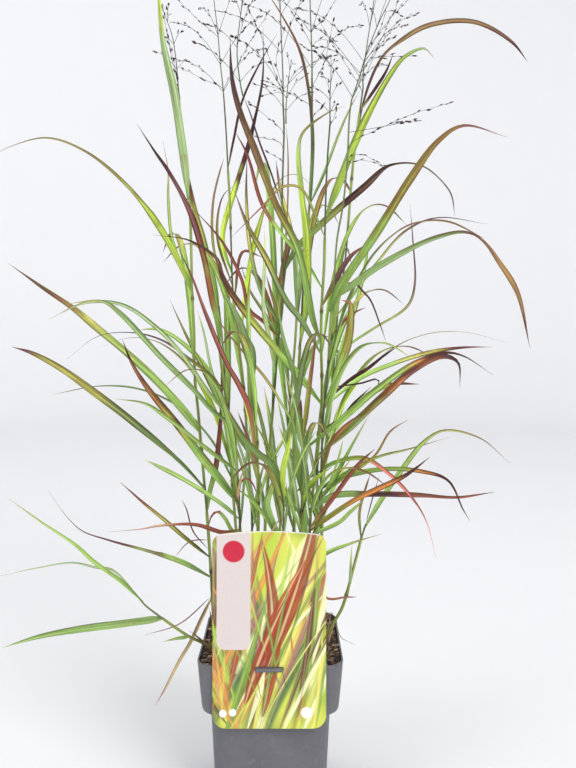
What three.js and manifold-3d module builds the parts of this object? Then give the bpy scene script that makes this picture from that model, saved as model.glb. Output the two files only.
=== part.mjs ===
// Switchgrass in a square nursery pot, with a hang card on the pot's rim.
//
// Millimetres, +Z up. The origin is the middle of the pot's underside, and the card hangs on the
// front, which faces -Y. The pot, the potting mix and the card are plain solids. Each stem is one
// solid with its blades, and each seed head is one solid of axis, branches and spikelets.
//
// Every course is drawn on an upright sheet through the middle of the clump, as an eye in front
// of the plant sees it, in sheet units that run right (u) and down (v). Each point is then moved
// nearer or farther along its sight line, by the depth that its stem or blade has there.

import * as THREE from "three";
import { mergeVertices } from "three/addons/utils/BufferGeometryUtils.js";
import Module from "manifold-3d";

const wasm = await Module();
wasm.setup();

// ---------------------------------------------------------------- driving dimensions

const POT_HEIGHT = 118;
const POT_WALL = 1.2;
const POT_FLOOR = 1.8;
// Half width, height and corner radius of the pot's outside, from the foot up to the rim.
const POT_OUTSIDE = [
  [40.8, 0, 10],
  [42.4, 1.6, 11],
  [46.2, 77.6, 12],
  [50.6, 78.2, 13],
  [52.2, 79.4, 13.5],
  [52.7, 82, 13.5],
  [55.8, POT_HEIGHT, 14],
];
const CORNER_STEPS = 3;
const DRAIN_RADIUS = 4;
const DRAIN_RING = 25;
const DRAIN_COUNT = 8;
const DRAIN_SIDES = 8;

const LUG_WIDTH = 20.4;
const LUG_REACH = 5;
const LUG_HEIGHT = 2.6;

const CARD_WIDTH = 85;
const CARD_BOTTOM = 72.2;
const CARD_TOP = 219.6;
const CARD_THICKNESS = 0.8;
const CARD_GAP = 1;
const CARD_X = -0.5;
const CARD_FOOT_RADIUS = 10;
const CARD_HEAD_RADIUS = 7;
const CARD_ARCH = 3;
const CARD_CURVE_STEPS = 4;

const FIT_GAP = 0.3;
const SOIL_INSET = POT_WALL + FIT_GAP;
const SOIL_EDGE = 113.5;
const SOIL_CROWN = 119;
const SOIL_RINGS = 3;
const SOIL_LUMP = 1.6;
const STEM_SET_DEPTH = 22;

const EYE = new THREE.Vector3(13.5, -660, 378);
const SHEET_UNIT = 0.8178;
const SHEET_EYE_U = 288;
const SHEET_EYE_V = 319;

const STEM_SIDES = 5;
const STEM_STEP = 75;
const STEM_TOP_SHARE = 0.72;
const WELL_CLEARANCE = 0.4;
const BLADE_THICKNESS = 0.7;
const BLADE_STEP = 56;
const BLADE_MOST_STEPS = 7;
const BLADE_TIP_WIDTH = 0.9;
const BLADE_COLLAR_SHARE = 0.5;
const BLADE_OPEN_AT = 0.18;
const BLADE_TAPER_FROM = 0.3;
const BLADE_TAPER_POWER = 1.7;
const BLADE_TURN = 25;
const BLADE_TIP_TURN = 30;
const ARCH_TWIST = 40;

const CELL = 2.6;
const LEAN_STEP = 7;
const LEAN_TRIES = 17;
const BOWS = [0, 7, -7, 14, -14];
const TRAIL_STEP = 2.6;

const AXIS_RADIUS = 0.65;
const AXIS_STEP = 40;
const AXIS_SIDES = 4;
const BRANCH_RADIUS = 0.5;
const SPIKELET_LENGTH = 5;
const SPIKELET_RADIUS = 1.05;
const WHORL_BRANCHES = 2;
const WHORL_STEP = 37;
const TWIN_ANGLE = 2.7;
const GOLDEN_ANGLE = 2.39996;

// ---------------------------------------------------------------- the stems

// foot: where the stem stands in the mix (x, y). depth: at the foot and at the top.
// course: sheet points u, v from low to high.
// blades: [collar v, depth at the tip, width, sheet points from the collar to the tip].
// arches: [collar v, heading in degrees from +X, reach, rise, width], for blades that come
// towards the eye or go away from it.
// heads: [stalk, depth at the tip, branch length, share of the axis that is bare, sheet points],
// where the stalk is the slender blade that carries the head, counted from 0, or TOP for the
// stem's own top.
const TOP = -1;
const STEMS = [
  {
    name: "stem_01", foot: [-44.5, -8], depth: [-8, -18], radius: 1.4,
    course: [212, 596, 210, 556, 207, 515, 204, 480, 201, 445, 198, 410, 195, 380, 194, 340,
      192, 290, 191, 240, 189, 190, 187, 168],
    blades: [
      [200, -60, 8, [187, 172, 182, 135, 175, 90, 168, 60, 163, 35, 160, 0, 157, -32]],
      [295, -95, 5.8, [178, 262, 151, 216, 124, 183, 86, 152, 48, 138, 12, 146, -15, 160]],
      [285, 20, 3.3, [180, 262, 171, 235, 168, 197, 168, 172, 163, 141]],
      [434, 60, 5.8, [189, 419, 163, 389, 130, 357, 92, 325, 73, 309, 38, 285, 8, 263]],
      [490, -110, 5.8, [184, 468, 153, 440, 126, 417, 96, 394, 61, 369, 31, 353, 12, 347]],
      [558, -60, 4.4, [187, 540, 165, 521, 142, 502, 120, 482]],
      [578, 5, 4.2, [184, 564, 153, 553, 107, 540, 82, 531, 67, 517, 48, 490]],
      [604, -50, 3.6, [202, 616, 190, 642, 180, 659, 165, 688, 155, 706]],
      [515, -4, 3, [211, 490, 216, 470, 219, 445, 222, 400, 221, 352]],
    ],
    arches: [[380, 108, 160, 135, 6.5]],
    heads: [[TOP, 10, 24, 0.4, [184, 140, 179, 95, 176, 60, 172, 35, 163, 10, 156, -14]]],
  },
  {
    name: "stem_02", foot: [-30, -31], depth: [-31, -44], radius: 1.5,
    course: [240, 530, 238, 490, 236, 455, 234, 430, 229, 415, 224, 385, 219, 345],
    blades: [
      [350, -78, 5.2, [216, 319, 212, 304, 202, 254, 189, 212, 168, 172, 153, 150, 137, 124]],
      [418, -105, 5, [210, 395, 182, 355, 155, 327, 122, 305, 86, 303, 49, 319]],
      [425, -135, 5, [213, 412, 195, 392, 160, 357, 120, 314, 103, 302, 65, 304]],
      [392, -70, 3.2, [207, 373, 190, 360, 163, 341, 134, 333, 99, 336, 67, 359]],
      [472, -150, 4.4, [222, 461, 205, 448, 165, 417, 145, 404, 115, 399]],
      [505, -115, 6.6, [222, 484, 201, 458, 176, 425, 147, 389, 130, 361, 122, 339]],
      [520, -155, 4.2, [222, 505, 187, 482, 159, 467, 145, 460]],
      [548, -130, 3.6, [224, 533, 195, 525, 159, 526, 142, 529, 109, 532]],
      [556, -58, 4, [233, 532, 224, 518, 217, 512, 211, 518, 209, 527]],
      [405, -40, 2.6, [218, 390, 211, 370, 203, 330, 197, 310]],
    ],
    arches: [[480, 248, 110, 95, 5.5]],
    heads: [],
  },
  {
    name: "stem_03", foot: [-21, 17], depth: [17, 38], radius: 1.3,
    course: [252, 530, 250, 480, 246, 420, 243, 380, 238, 340, 233, 293, 231, 240, 230, 205,
      228, 170, 226, 130, 224, 100],
    blades: [
      [275, 62, 5, [223, 250, 222, 232, 237, 180, 247, 148, 254, 120, 262, 80, 263, 25]],
      [170, 75, 2.6, [234, 140, 243, 100, 263, 58, 277, 34]],
      [286, 48, 2.8, [218, 238, 220, 205, 226, 192, 246, 180]],
      [300, 28, 2.8, [216, 260, 212, 235, 213, 200, 220, 170, 224, 158]],
      [300, 12, 2.8, [243, 251, 262, 257]],
      [452, 130, 5.6, [228, 418, 205, 372, 184, 330, 170, 300]],
    ],
    arches: [[400, 120, 190, 150, 7], [350, 62, 160, 175, 6]],
    heads: [[TOP, 60, 68, 0.05, [223, 88, 220, 60, 218, 35, 214, 0, 209, -50, 204, -105]]],
  },
  {
    name: "stem_04", foot: [-14, -39], depth: [-39, -50], radius: 1.5,
    course: [258, 530, 258, 480, 257, 440, 254, 400, 252, 368],
    blades: [
      [470, -66, 6.4, [256, 440, 252, 400, 250, 350, 249, 300, 252, 264]],
      [480, -92, 4.6, [250, 408, 240, 385, 227, 362, 207, 315, 191, 273, 178, 248]],
      [380, -70, 5.4, [243, 345, 238, 325, 230, 305, 222, 292]],
      [385, -84, 5, [252, 350, 247, 340, 240, 320, 232, 303]],
    ],
    arches: [[430, 262, 120, 80, 6]],
    heads: [],
  },
  {
    name: "stem_05", foot: [-5, 3], depth: [3, 10], radius: 1.4,
    course: [265, 530, 268, 480, 271, 430, 275, 385, 278, 345, 283, 300, 282, 250, 282, 205,
      283, 165, 284, 130, 283, 102],
    blades: [
      [206, -22, 1.7, [271, 172, 259, 140, 250, 112, 243, 96]],
      [325, -14, 3.6, [262, 295, 250, 250, 246, 195, 247, 155]],
      [338, -32, 3.6, [263, 322, 249, 310, 241, 279, 222, 242, 191, 206]],
      [376, -18, 4.2, [268, 335, 263, 310, 264, 260, 264, 225]],
      [332, 14, 3.4, [277, 315, 270, 290, 266, 275]],
      [276, -62, 5.6, [296, 250, 326, 220, 366, 186, 391, 166, 421, 166, 449, 191, 455, 216]],
      [466, -6, 2.6, [285, 437, 293, 410]],
      [292, 22, 1.7, [286, 240, 288, 200, 288, 150, 286, 124]],
    ],
    arches: [[410, 80, 170, 160, 6.5], [360, 100, 140, 190, 6]],
    heads: [
      [TOP, 26, 62, 0.05, [283, 80, 281, 30, 280, 0, 277, -60, 275, -125]],
      [0, -30, 44, 0.12, [240, 82, 237, 50, 240, 20, 244, -6, 249, -30]],
      [7, 30, 34, 0.2, [286, 108, 288, 84, 291, 62]],
    ],
  },
  {
    name: "stem_06", foot: [15, -11], depth: [-11, -4], radius: 1.5,
    course: [294, 530, 294, 480, 294, 440, 297, 400, 299, 365, 301, 330, 303, 290, 309, 210,
      311, 170, 312, 130, 312, 78],
    blades: [
      [350, -34, 5.2, [308, 300, 308, 240, 302, 190, 299, 150, 303, 133, 328, 113, 345, 106]],
      [213, -22, 3.4, [310, 190, 312, 140, 308, 90, 299, 50, 280, 13, 262, -14]],
      [205, 34, 3.3, [324, 172, 338, 135, 350, 108, 360, 90]],
      [402, -44, 5, [292, 370, 283, 340, 277, 300]],
    ],
    arches: [[330, 75, 150, 160, 6], [450, 285, 100, 100, 5]],
    heads: [[TOP, -14, 66, 0.04, [312, 60, 310, 0, 309, -60, 309, -115, 310, -160]]],
  },
  {
    name: "stem_07", foot: [31, 17], depth: [17, 56], radius: 1.4,
    course: [310, 530, 314, 480, 318, 440, 321, 410, 326, 380, 330, 350, 335, 320, 344, 270,
      347, 240, 350, 200, 353, 165, 356, 140, 360, 110, 363, 88],
    blades: [
      [410, 62, 5, [360, 379, 391, 365, 429, 353, 460, 348, 492, 347]],
      [362, 96, 3, [352, 343, 375, 328, 408, 306, 415, 285, 413, 239, 410, 204]],
      [318, 112, 3.4, [350, 300, 378, 262, 406, 231, 437, 218, 487, 224]],
      [284, 30, 2.5, [355, 284, 363, 292, 370, 300, 380, 325, 386, 342]],
      [334, 76, 3, [344, 320, 353, 313, 366, 307]],
      [168, 104, 4.2, [365, 100, 383, 58, 400, 42, 430, 25, 475, 22, 512, 42, 528, 62]],
      [112, 62, 3.2, [380, 88, 390, 72, 394, 52]],
    ],
    arches: [[430, 60, 190, 130, 6.5], [380, 25, 170, 150, 6]],
    heads: [[TOP, 84, 72, 0.03, [363, 75, 367, 45, 374, 0, 381, -50, 387, -105]]],
  },
  {
    name: "stem_08", foot: [38, -6], depth: [-6, -2], radius: 1.4,
    course: [316, 530, 317, 490, 318, 450, 321, 420, 322, 380, 321, 340, 322, 300, 324, 270,
      325, 230, 326, 190, 328, 150, 330, 124],
    blades: [
      [345, -72, 5.4, [312, 320, 297, 250, 275, 205, 253, 148, 238, 108, 231, 75, 230, 36]],
      [356, -98, 5.2, [300, 320, 286, 302, 266, 260, 247, 225, 234, 190]],
      [405, -140, 5.8, [303, 382, 275, 350, 235, 300, 221, 275, 217, 260, 190, 241, 153, 235]],
      [238, -44, 2.6, [316, 218, 300, 188, 283, 187, 262, 207, 231, 238]],
      [216, -58, 5.8, [333, 190, 358, 125, 385, 75, 400, 57, 422, 48, 434, 58]],
      [305, -48, 4, [333, 283, 343, 265, 352, 254, 368, 243]],
      [457, -125, 6, [352, 427, 383, 398, 414, 371, 442, 357, 457, 362, 460, 388]],
      [474, -145, 4.2, [333, 464, 364, 459, 387, 473, 410, 496, 425, 519, 436, 557]],
      [492, -96, 5, [337, 480, 383, 470, 421, 472, 448, 481, 463, 510, 470, 521]],
      [502, -50, 4.8, [328, 490, 341, 467, 352, 446, 370, 414]],
      [500, -20, 3.4, [345, 474, 379, 457, 410, 449, 450, 437]],
      [290, -30, 4.2, [305, 262, 282, 235, 262, 205, 247, 155, 234, 130]],
    ],
    arches: [[360, 50, 130, 150, 5.5]],
    heads: [[TOP, 2, 20, 0.15, [330, 112, 330, 96, 331, 74, 331, 58]]],
  },
  {
    name: "stem_09", foot: [32, -29], depth: [-29, -44], radius: 1.3,
    course: [322, 530, 321, 480, 322, 450, 323, 420, 328, 370, 330, 330, 334, 280, 337, 240,
      343, 205, 347, 165, 349, 122],
    blades: [
      [312, -88, 7.4, [339, 292, 379, 231, 410, 181, 439, 141, 463, 126, 507, 137]],
      [300, -62, 5, [349, 288, 379, 267, 439, 238, 473, 235, 500, 265, 517, 292, 530, 348]],
      [410, -66, 5.6, [332, 395, 343, 363, 349, 344, 352, 311, 350, 302, 341, 300]],
      [402, -74, 3.3, [352, 379, 368, 369, 383, 357, 399, 346]],
      [478, -60, 4.6, [331, 444, 341, 431, 352, 421, 366, 412]],
      [430, -92, 3.3, [345, 417, 352, 406, 371, 387]],
      [494, -82, 2.6, [345, 478, 375, 456, 391, 431, 408, 420]],
    ],
    arches: [[450, 300, 110, 90, 5.5]],
    heads: [[TOP, -60, 56, 0.1, [352, 98, 357, 85, 366, 55, 380, 20, 390, 0, 402, -38]]],
  },
  {
    name: "stem_10", foot: [15, -38], depth: [-38, -52], radius: 1.4,
    course: [301, 530, 302, 500, 302, 470, 302, 436],
    blades: [
      [440, -74, 2.6, [282, 405, 265, 378, 247, 357, 225, 330, 215, 315]],
      [442, -54, 5, [308, 390, 312, 360, 316, 330]],
      [450, -62, 6.4, [298, 420, 301, 399]],
      [515, -72, 5.8, [308, 490, 316, 480, 333, 466]],
      [452, -150, 5, [339, 423, 381, 387, 418, 362, 445, 353, 463, 356, 493, 375]],
    ],
    arches: [[500, 280, 90, 70, 5]],
    heads: [],
  },
  {
    name: "stem_11", foot: [24, -42], depth: [-42, -48], radius: 1.3,
    course: [308, 575, 309, 540, 310, 508],
    blades: [
      [530, -84, 4, [324, 511, 349, 477, 360, 463, 375, 449]],
      [532, -112, 4.6, [330, 517, 356, 500, 398, 480, 410, 473, 430, 457]],
      [512, -66, 4, [333, 497, 372, 495, 419, 496, 458, 498, 495, 492]],
      [536, -118, 4.2, [339, 523, 352, 511, 364, 500]],
      [566, -58, 3.8, [330, 552, 345, 546, 362, 540, 382, 534]],
    ],
    arches: [[520, 296, 110, 60, 5]],
    heads: [],
  },
  {
    name: "stem_12", foot: [42, -22], depth: [-22, -34], radius: 1.4,
    course: [331, 628, 342, 608, 352, 574, 358, 551, 362, 536, 366, 524],
    blades: [
      [530, -86, 5.2, [379, 505, 402, 471, 425, 442, 444, 431, 479, 438, 510, 463]],
      [588, -40, 2.8, [350, 584, 351, 567, 352, 546]],
      [540, -24, 2.6, [359, 513, 366, 486, 370, 475]],
    ],
    arches: [],
    heads: [],
  },
  {
    name: "stem_13", foot: [-40, -26], depth: [-27, -34], radius: 1.3,
    course: [203, 643, 190, 637, 162, 618, 145, 605, 139, 598],
    blades: [
      [602, -66, 4.2, [122, 583, 92, 561, 76, 546, 42, 523, 9, 499]],
      [603, -12, 2.8, [112, 570, 97, 568, 73, 563, 38, 568, 0, 576]],
      [619, -70, 7.2, [150, 621, 120, 625, 80, 630, 40, 637, 2, 648]],
      [637, -46, 3.8, [184, 638, 176, 639, 163, 642]],
    ],
    arches: [],
    heads: [],
  },
  {
    name: "stem_14", foot: [-25, 37], depth: [37, 66], radius: 1.4,
    course: [236, 530, 232, 480, 229, 440, 226, 400, 223, 350, 219, 306],
    blades: [
      [320, 104, 5.2, [214, 280, 204, 240, 193, 200, 186, 160]],
      [410, 128, 5.6, [214, 380, 190, 350, 160, 330, 138, 330]],
    ],
    arches: [[470, 140, 190, 120, 7], [430, 95, 200, 140, 7], [480, 172, 165, 85, 6]],
    heads: [],
  },
  {
    name: "stem_15", foot: [5, 41], depth: [41, 78], radius: 1.4,
    course: [280, 530, 284, 480, 288, 430, 292, 380, 296, 330, 298, 290],
    blades: [
      [310, 116, 5.4, [296, 260, 290, 225, 281, 190, 276, 160]],
      [400, 112, 5.2, [284, 350, 268, 318, 250, 290, 240, 262]],
    ],
    arches: [[480, 70, 200, 130, 7], [430, 110, 210, 160, 7], [340, 86, 160, 150, 6]],
    heads: [],
  },
  {
    name: "stem_16", foot: [32, 39], depth: [39, 70], radius: 1.4,
    course: [318, 530, 322, 480, 327, 435, 333, 390, 338, 350],
    blades: [
      [370, 112, 5.4, [346, 336, 358, 300, 366, 262, 370, 232]],
      [440, 118, 5, [342, 418, 366, 396, 392, 384, 420, 384]],
    ],
    arches: [[480, 50, 190, 120, 7], [450, 15, 180, 110, 6.5], [400, 80, 190, 155, 7]],
    heads: [],
  },
  {
    name: "stem_17", foot: [1, -44], depth: [-44, -58], radius: 1.3,
    course: [280, 560, 283, 530, 284, 505],
    blades: [
      [512, -96, 5.6, [270, 465, 258, 455, 245, 442, 232, 420, 222, 398]],
      [545, -66, 5.4, [266, 505, 270, 490, 278, 470]],
      [508, -62, 6, [284, 470, 289, 448, 291, 432]],
    ],
    arches: [[525, 250, 100, 60, 5.5]],
    heads: [],
  },
];

// ---------------------------------------------------------------- solids

const pieces = new THREE.Group();

/** A whole mesh of its own name and finish, added to the model. */
function addPiece(name, geometry, color, roughness) {
  const material = new THREE.MeshStandardMaterial({ color, roughness, metalness: 0 });
  const piece = new THREE.Mesh(geometry, material);
  piece.name = name;
  pieces.add(piece);
}

/** A repeatable draw between 0 and 1 for the number n. */
function draw(n) {
  const wave = Math.sin(n * 12.9898) * 43758.5453;
  return wave - Math.floor(wave);
}

/** The solid that a closed geometry bounds. */
function solidOf(geometry) {
  const bare = geometry.clone();
  bare.deleteAttribute("normal");
  bare.deleteAttribute("uv");
  const merged = mergeVertices(bare);
  return new wasm.Manifold(new wasm.Mesh({
    numProp: 3,
    vertProperties: new Float32Array(merged.attributes.position.array),
    triVerts: new Uint32Array(merged.index.array),
  }));
}

/** The geometry that bounds a solid. */
function geometryOf(solid) {
  const mesh = solid.getMesh();
  const geometry = new THREE.BufferGeometry();
  geometry.setAttribute("position", new THREE.BufferAttribute(mesh.vertProperties, 3));
  geometry.setIndex(new THREE.BufferAttribute(mesh.triVerts, 1));
  return geometry;
}

/** A closed body through rings of points, capped flat at both ends, with its faces out.
 * The quads of the ring's first and second half are split alike, so that a thin body that
 * twists keeps its two faces apart. */
function loft(rings) {
  const sides = rings[0].length;
  const last = (rings.length - 1) * sides;
  const faces = [];
  for (let start = 0; start < last; start += sides) {
    for (let side = 0; side < sides; side += 1) {
      const a = start + side;
      const b = start + (side + 1) % sides;
      const split = side * 2 < sides ? [a, b, b + sides, a, b + sides, a + sides]
        : [a, b, a + sides, b, b + sides, a + sides];
      faces.push(...split);
    }
  }
  for (let side = 1; side < sides - 1; side += 1) {
    faces.push(0, side + 1, side);
    faces.push(last, last + side, last + side + 1);
  }
  const corners = rings.flat();
  let volume = 0;
  for (let i = 0; i < faces.length; i += 3) {
    const [p, q, r] = [corners[faces[i]], corners[faces[i + 1]], corners[faces[i + 2]]];
    volume += p.dot(q.clone().cross(r));
  }
  const geometry = new THREE.BufferGeometry().setFromPoints(corners);
  geometry.setIndex(volume < 0 ? faces.reverse() : faces);
  return geometry;
}

// ---------------------------------------------------------------- courses

/** The point that the eye sees at (u, v) on the sheet, at a depth behind the sheet. */
function onSightLine(u, v, depth) {
  const x = EYE.x + (u - SHEET_EYE_U) * SHEET_UNIT;
  const z = EYE.z - (v - SHEET_EYE_V) * SHEET_UNIT;
  return new THREE.Vector3(x, 0, z).sub(EYE).multiplyScalar(1 - depth / EYE.y).add(EYE);
}

/** Pairs u, v from a flat list. */
function pairs(list) {
  return Array.from({ length: list.length / 2 }, (_, i) => [list[2 * i], list[2 * i + 1]]);
}

/** How far along each sheet point lies, from 0 at the first to 1 at the last. */
function shares(points) {
  const runs = [0];
  for (let i = 1; i < points.length; i += 1) {
    const run = Math.hypot(points[i][0] - points[i - 1][0], points[i][1] - points[i - 1][1]);
    runs.push(runs[i - 1] + run);
  }
  return runs.map((run) => run / runs[runs.length - 1]);
}

/** A stem's sheet place and depth at the height v on the sheet. */
function collarOf(stem, v) {
  const points = pairs(stem.course);
  const at = shares(points);
  let i = 1;
  while (i < points.length - 1 && points[i][1] > v) {
    i += 1;
  }
  const [low, high] = [points[i - 1], points[i]];
  const part = THREE.MathUtils.clamp((low[1] - v) / (low[1] - high[1]), 0, 1);
  const u = THREE.MathUtils.lerp(low[0], high[0], part);
  const along = THREE.MathUtils.lerp(at[i - 1], at[i], part);
  const depth = THREE.MathUtils.lerp(stem.depth[0], stem.depth[1], along);
  return { u, v: THREE.MathUtils.lerp(low[1], high[1], part), depth };
}

/** The curve of a sheet course whose depth runs from one value to another, with a bow. */
function sheetCurve(points, depthStart, depthEnd, bow = 0) {
  const at = shares(points);
  return new THREE.CatmullRomCurve3(points.map(([u, v], i) => {
    const depth = THREE.MathUtils.lerp(depthStart, depthEnd, at[i]);
    return onSightLine(u, v, depth + 4 * bow * at[i] * (1 - at[i]));
  }));
}

/** The curve of a blade that leaves its collar along a heading, rises, and nods. */
function archCurve(collar, heading, reach, rise) {
  const start = onSightLine(collar.u, collar.v, collar.depth);
  const angle = THREE.MathUtils.degToRad(heading);
  const points = [];
  for (let share = 0; share < 1.01; share += 0.2) {
    const run = reach * (0.55 * share + 0.45 * share ** 2);
    const lift = rise * (2.5 * share - 1.65 * share ** 2);
    points.push(new THREE.Vector3(Math.cos(angle) * run, Math.sin(angle) * run, lift).add(start));
  }
  return new THREE.CatmullRomCurve3(points);
}

/** Half the width of a blade at a share of its length: narrow at the collar, then tapering. */
function bladeHalfWidth(width, share) {
  const open = THREE.MathUtils.smoothstep(share, 0, BLADE_OPEN_AT);
  const opening = THREE.MathUtils.lerp(BLADE_COLLAR_SHARE, 1, open);
  const past = Math.max(0, share - BLADE_TAPER_FROM) / (1 - BLADE_TAPER_FROM);
  const taper = 1 - past ** BLADE_TAPER_POWER;
  return Math.max(BLADE_TIP_WIDTH, width * opening * taper) / 2;
}

/** The blade's cross-section at a share of its curve: its middle and its width direction.
 * Without a turn the blade lies square to the eye, or flat under the sky when it arches. */
function bladeStation(curve, share, turn, arching) {
  const middle = curve.getPoint(share);
  const along = curve.getTangent(share);
  const face = arching ? new THREE.Vector3(0, 0, 1) : EYE.clone().sub(middle);
  const across = along.clone().cross(face).normalize();
  const twist = THREE.MathUtils.lerp(turn[0], turn[1], share);
  across.applyAxisAngle(along, THREE.MathUtils.degToRad(twist));
  return { middle, along, across };
}

// ---------------------------------------------------------------- keeping clear

// Each lattice cell that a stem, blade or seed head runs through, with its owner's name.
const taken = new Map();

function cellKeys(point, spread) {
  const keys = [];
  const [x, y, z] = point.toArray().map((value) => Math.round(value / CELL) + 512);
  for (let i = -spread; i <= spread; i += 1) {
    for (let j = -spread; j <= spread; j += 1) {
      for (let k = -spread; k <= spread; k += 1) {
        keys.push(((x + i) * 1024 + y + j) * 1024 + z + k);
      }
    }
  }
  return keys;
}

/** Marks the cells at and around points as their owner's. */
function take(points, owner) {
  for (const key of points.flatMap((point) => cellKeys(point, 1))) {
    const holder = taken.get(key);
    taken.set(key, holder === undefined || holder === owner ? owner : "several");
  }
}

/** How many of the points lie in a cell that belongs to another owner. */
function countClashes(points, owner) {
  return points.filter((point) => {
    const holder = taken.get(cellKeys(point, 0)[0]);
    return holder !== undefined && holder !== owner;
  }).length;
}

/** Points all over a blade, or along a round piece when it has no width. */
function trail(curve, width = 0, turn = [0, 0], arching = false) {
  const steps = Math.ceil(curve.getLength() / TRAIL_STEP);
  const points = [];
  for (let step = 0; step <= steps; step += 1) {
    const share = step / steps;
    const { middle, across } = bladeStation(curve, share, turn, arching);
    points.push(middle);
    if (width > 0) {
      const half = bladeHalfWidth(width, share);
      points.push(middle.clone().addScaledVector(across, half));
      points.push(middle.clone().addScaledVector(across, -half));
    }
  }
  return points;
}

/** The first of the trial curves that passes clear of other owners, or the least bad one. */
function clearest(owner, trialCurve, trailOf) {
  let best;
  let fewest = Infinity;
  for (let trial = 0; trial < LEAN_TRIES * BOWS.length && fewest > 0; trial += 1) {
    const rank = Math.floor(trial / BOWS.length);
    const lean = (rank % 2 ? 1 : -1) * Math.ceil(rank / 2) * LEAN_STEP;
    const curve = trialCurve(lean, BOWS[trial % BOWS.length]);
    const clashes = countClashes(trailOf(curve), owner);
    if (clashes < fewest) {
      fewest = clashes;
      best = curve;
    }
  }
  take(trailOf(best), owner);
  return best;
}

// ---------------------------------------------------------------- pot

/** A square with round corners at a height, as a ring of points. */
function squareRing(half, radius, height) {
  const ring = [];
  for (let corner = 0; corner < 4; corner += 1) {
    for (let step = 0; step <= CORNER_STEPS; step += 1) {
      const angle = (corner + step / CORNER_STEPS) * Math.PI / 2;
      const centre = (corner + 0.5) * Math.PI / 2;
      const x = Math.sign(Math.cos(centre)) * (half - radius) + radius * Math.cos(angle);
      const y = Math.sign(Math.sin(centre)) * (half - radius) + radius * Math.sin(angle);
      ring.push(new THREE.Vector3(x, y, height));
    }
  }
  return ring;
}

/** The rings of the pot's wall set in by a distance, from a brim down to a floor. */
function insideRings(inset, floor, brim) {
  const [, [lowHalf, , lowRadius], ...upper] = POT_OUTSIDE;
  const [rimHalf, , rimRadius] = upper.pop();
  const [bandHalf, bandHeight] = upper[upper.length - 1];
  const rings = upper.map(([half, height, radius]) =>
    squareRing(half - inset, radius - inset, height + POT_WALL));
  rings.unshift(squareRing(lowHalf - inset, lowRadius - inset, floor));
  const below = (POT_HEIGHT - brim) / (POT_HEIGHT - bandHeight);
  const brimHalf = THREE.MathUtils.lerp(rimHalf, bandHalf, below);
  rings.push(squareRing(brimHalf - inset, rimRadius - inset, brim));
  return rings.reverse();
}

const potRings = POT_OUTSIDE.map(([half, height, radius]) => squareRing(half, radius, height));
potRings.push(...insideRings(POT_WALL, POT_FLOOR, POT_HEIGHT));
let pot = solidOf(loft(potRings));
for (let hole = 0; hole < DRAIN_COUNT; hole += 1) {
  const angle = (hole + 0.5) * 2 * Math.PI / DRAIN_COUNT;
  const drain = new THREE.CylinderGeometry(DRAIN_RADIUS, DRAIN_RADIUS, 4 * POT_FLOOR, DRAIN_SIDES);
  drain.rotateX(Math.PI / 2);
  drain.translate(DRAIN_RING * Math.cos(angle), DRAIN_RING * Math.sin(angle), 0);
  pot = pot.subtract(solidOf(drain));
}
// The lug under the rim's front passes through the card's slot.
const potFront = POT_OUTSIDE[POT_OUTSIDE.length - 1][0];
const lug = new THREE.BoxGeometry(LUG_WIDTH, LUG_REACH + POT_WALL / 2, LUG_HEIGHT);
lug.translate(CARD_X, -potFront - LUG_REACH / 2 + POT_WALL / 4, POT_HEIGHT - LUG_HEIGHT / 2);
pot = pot.add(solidOf(lug));
addPiece("pot", geometryOf(pot), 0x5f5e64, 0.5);

// ---------------------------------------------------------------- hang card

/** The card's outline: round corners, and a top edge that rises towards its middle. */
function cardShape() {
  const half = CARD_WIDTH / 2;
  const shoulder = CARD_TOP - CARD_ARCH;
  const shape = new THREE.Shape();
  shape.moveTo(CARD_FOOT_RADIUS - half, CARD_BOTTOM);
  shape.lineTo(half - CARD_FOOT_RADIUS, CARD_BOTTOM);
  shape.quadraticCurveTo(half, CARD_BOTTOM, half, CARD_BOTTOM + CARD_FOOT_RADIUS);
  shape.lineTo(half, shoulder - CARD_HEAD_RADIUS);
  shape.quadraticCurveTo(half, shoulder, half - CARD_HEAD_RADIUS, shoulder);
  shape.quadraticCurveTo(0, CARD_TOP + CARD_ARCH, CARD_HEAD_RADIUS - half, shoulder);
  shape.quadraticCurveTo(-half, shoulder, -half, shoulder - CARD_HEAD_RADIUS);
  shape.lineTo(-half, CARD_BOTTOM + CARD_FOOT_RADIUS);
  shape.quadraticCurveTo(-half, CARD_BOTTOM, CARD_FOOT_RADIUS - half, CARD_BOTTOM);
  const slot = new THREE.Path();
  const slotHalf = LUG_WIDTH / 2 + FIT_GAP;
  const slotTop = POT_HEIGHT + FIT_GAP;
  const slotBottom = POT_HEIGHT - LUG_HEIGHT - 2 * FIT_GAP;
  slot.moveTo(-slotHalf, slotBottom);
  slot.lineTo(-slotHalf, slotTop);
  slot.lineTo(slotHalf, slotTop);
  slot.lineTo(slotHalf, slotBottom);
  slot.closePath();
  shape.holes.push(slot);
  return shape;
}

const card = new THREE.ExtrudeGeometry(cardShape(), {
  depth: CARD_THICKNESS,
  bevelEnabled: false,
  curveSegments: CARD_CURVE_STEPS,
});
card.rotateX(Math.PI / 2);
card.translate(CARD_X, -potFront - CARD_GAP, 0);
addPiece("hang_card", geometryOf(solidOf(card)), 0x9fb05a, 0.45);

// ---------------------------------------------------------------- stems and blades

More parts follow.
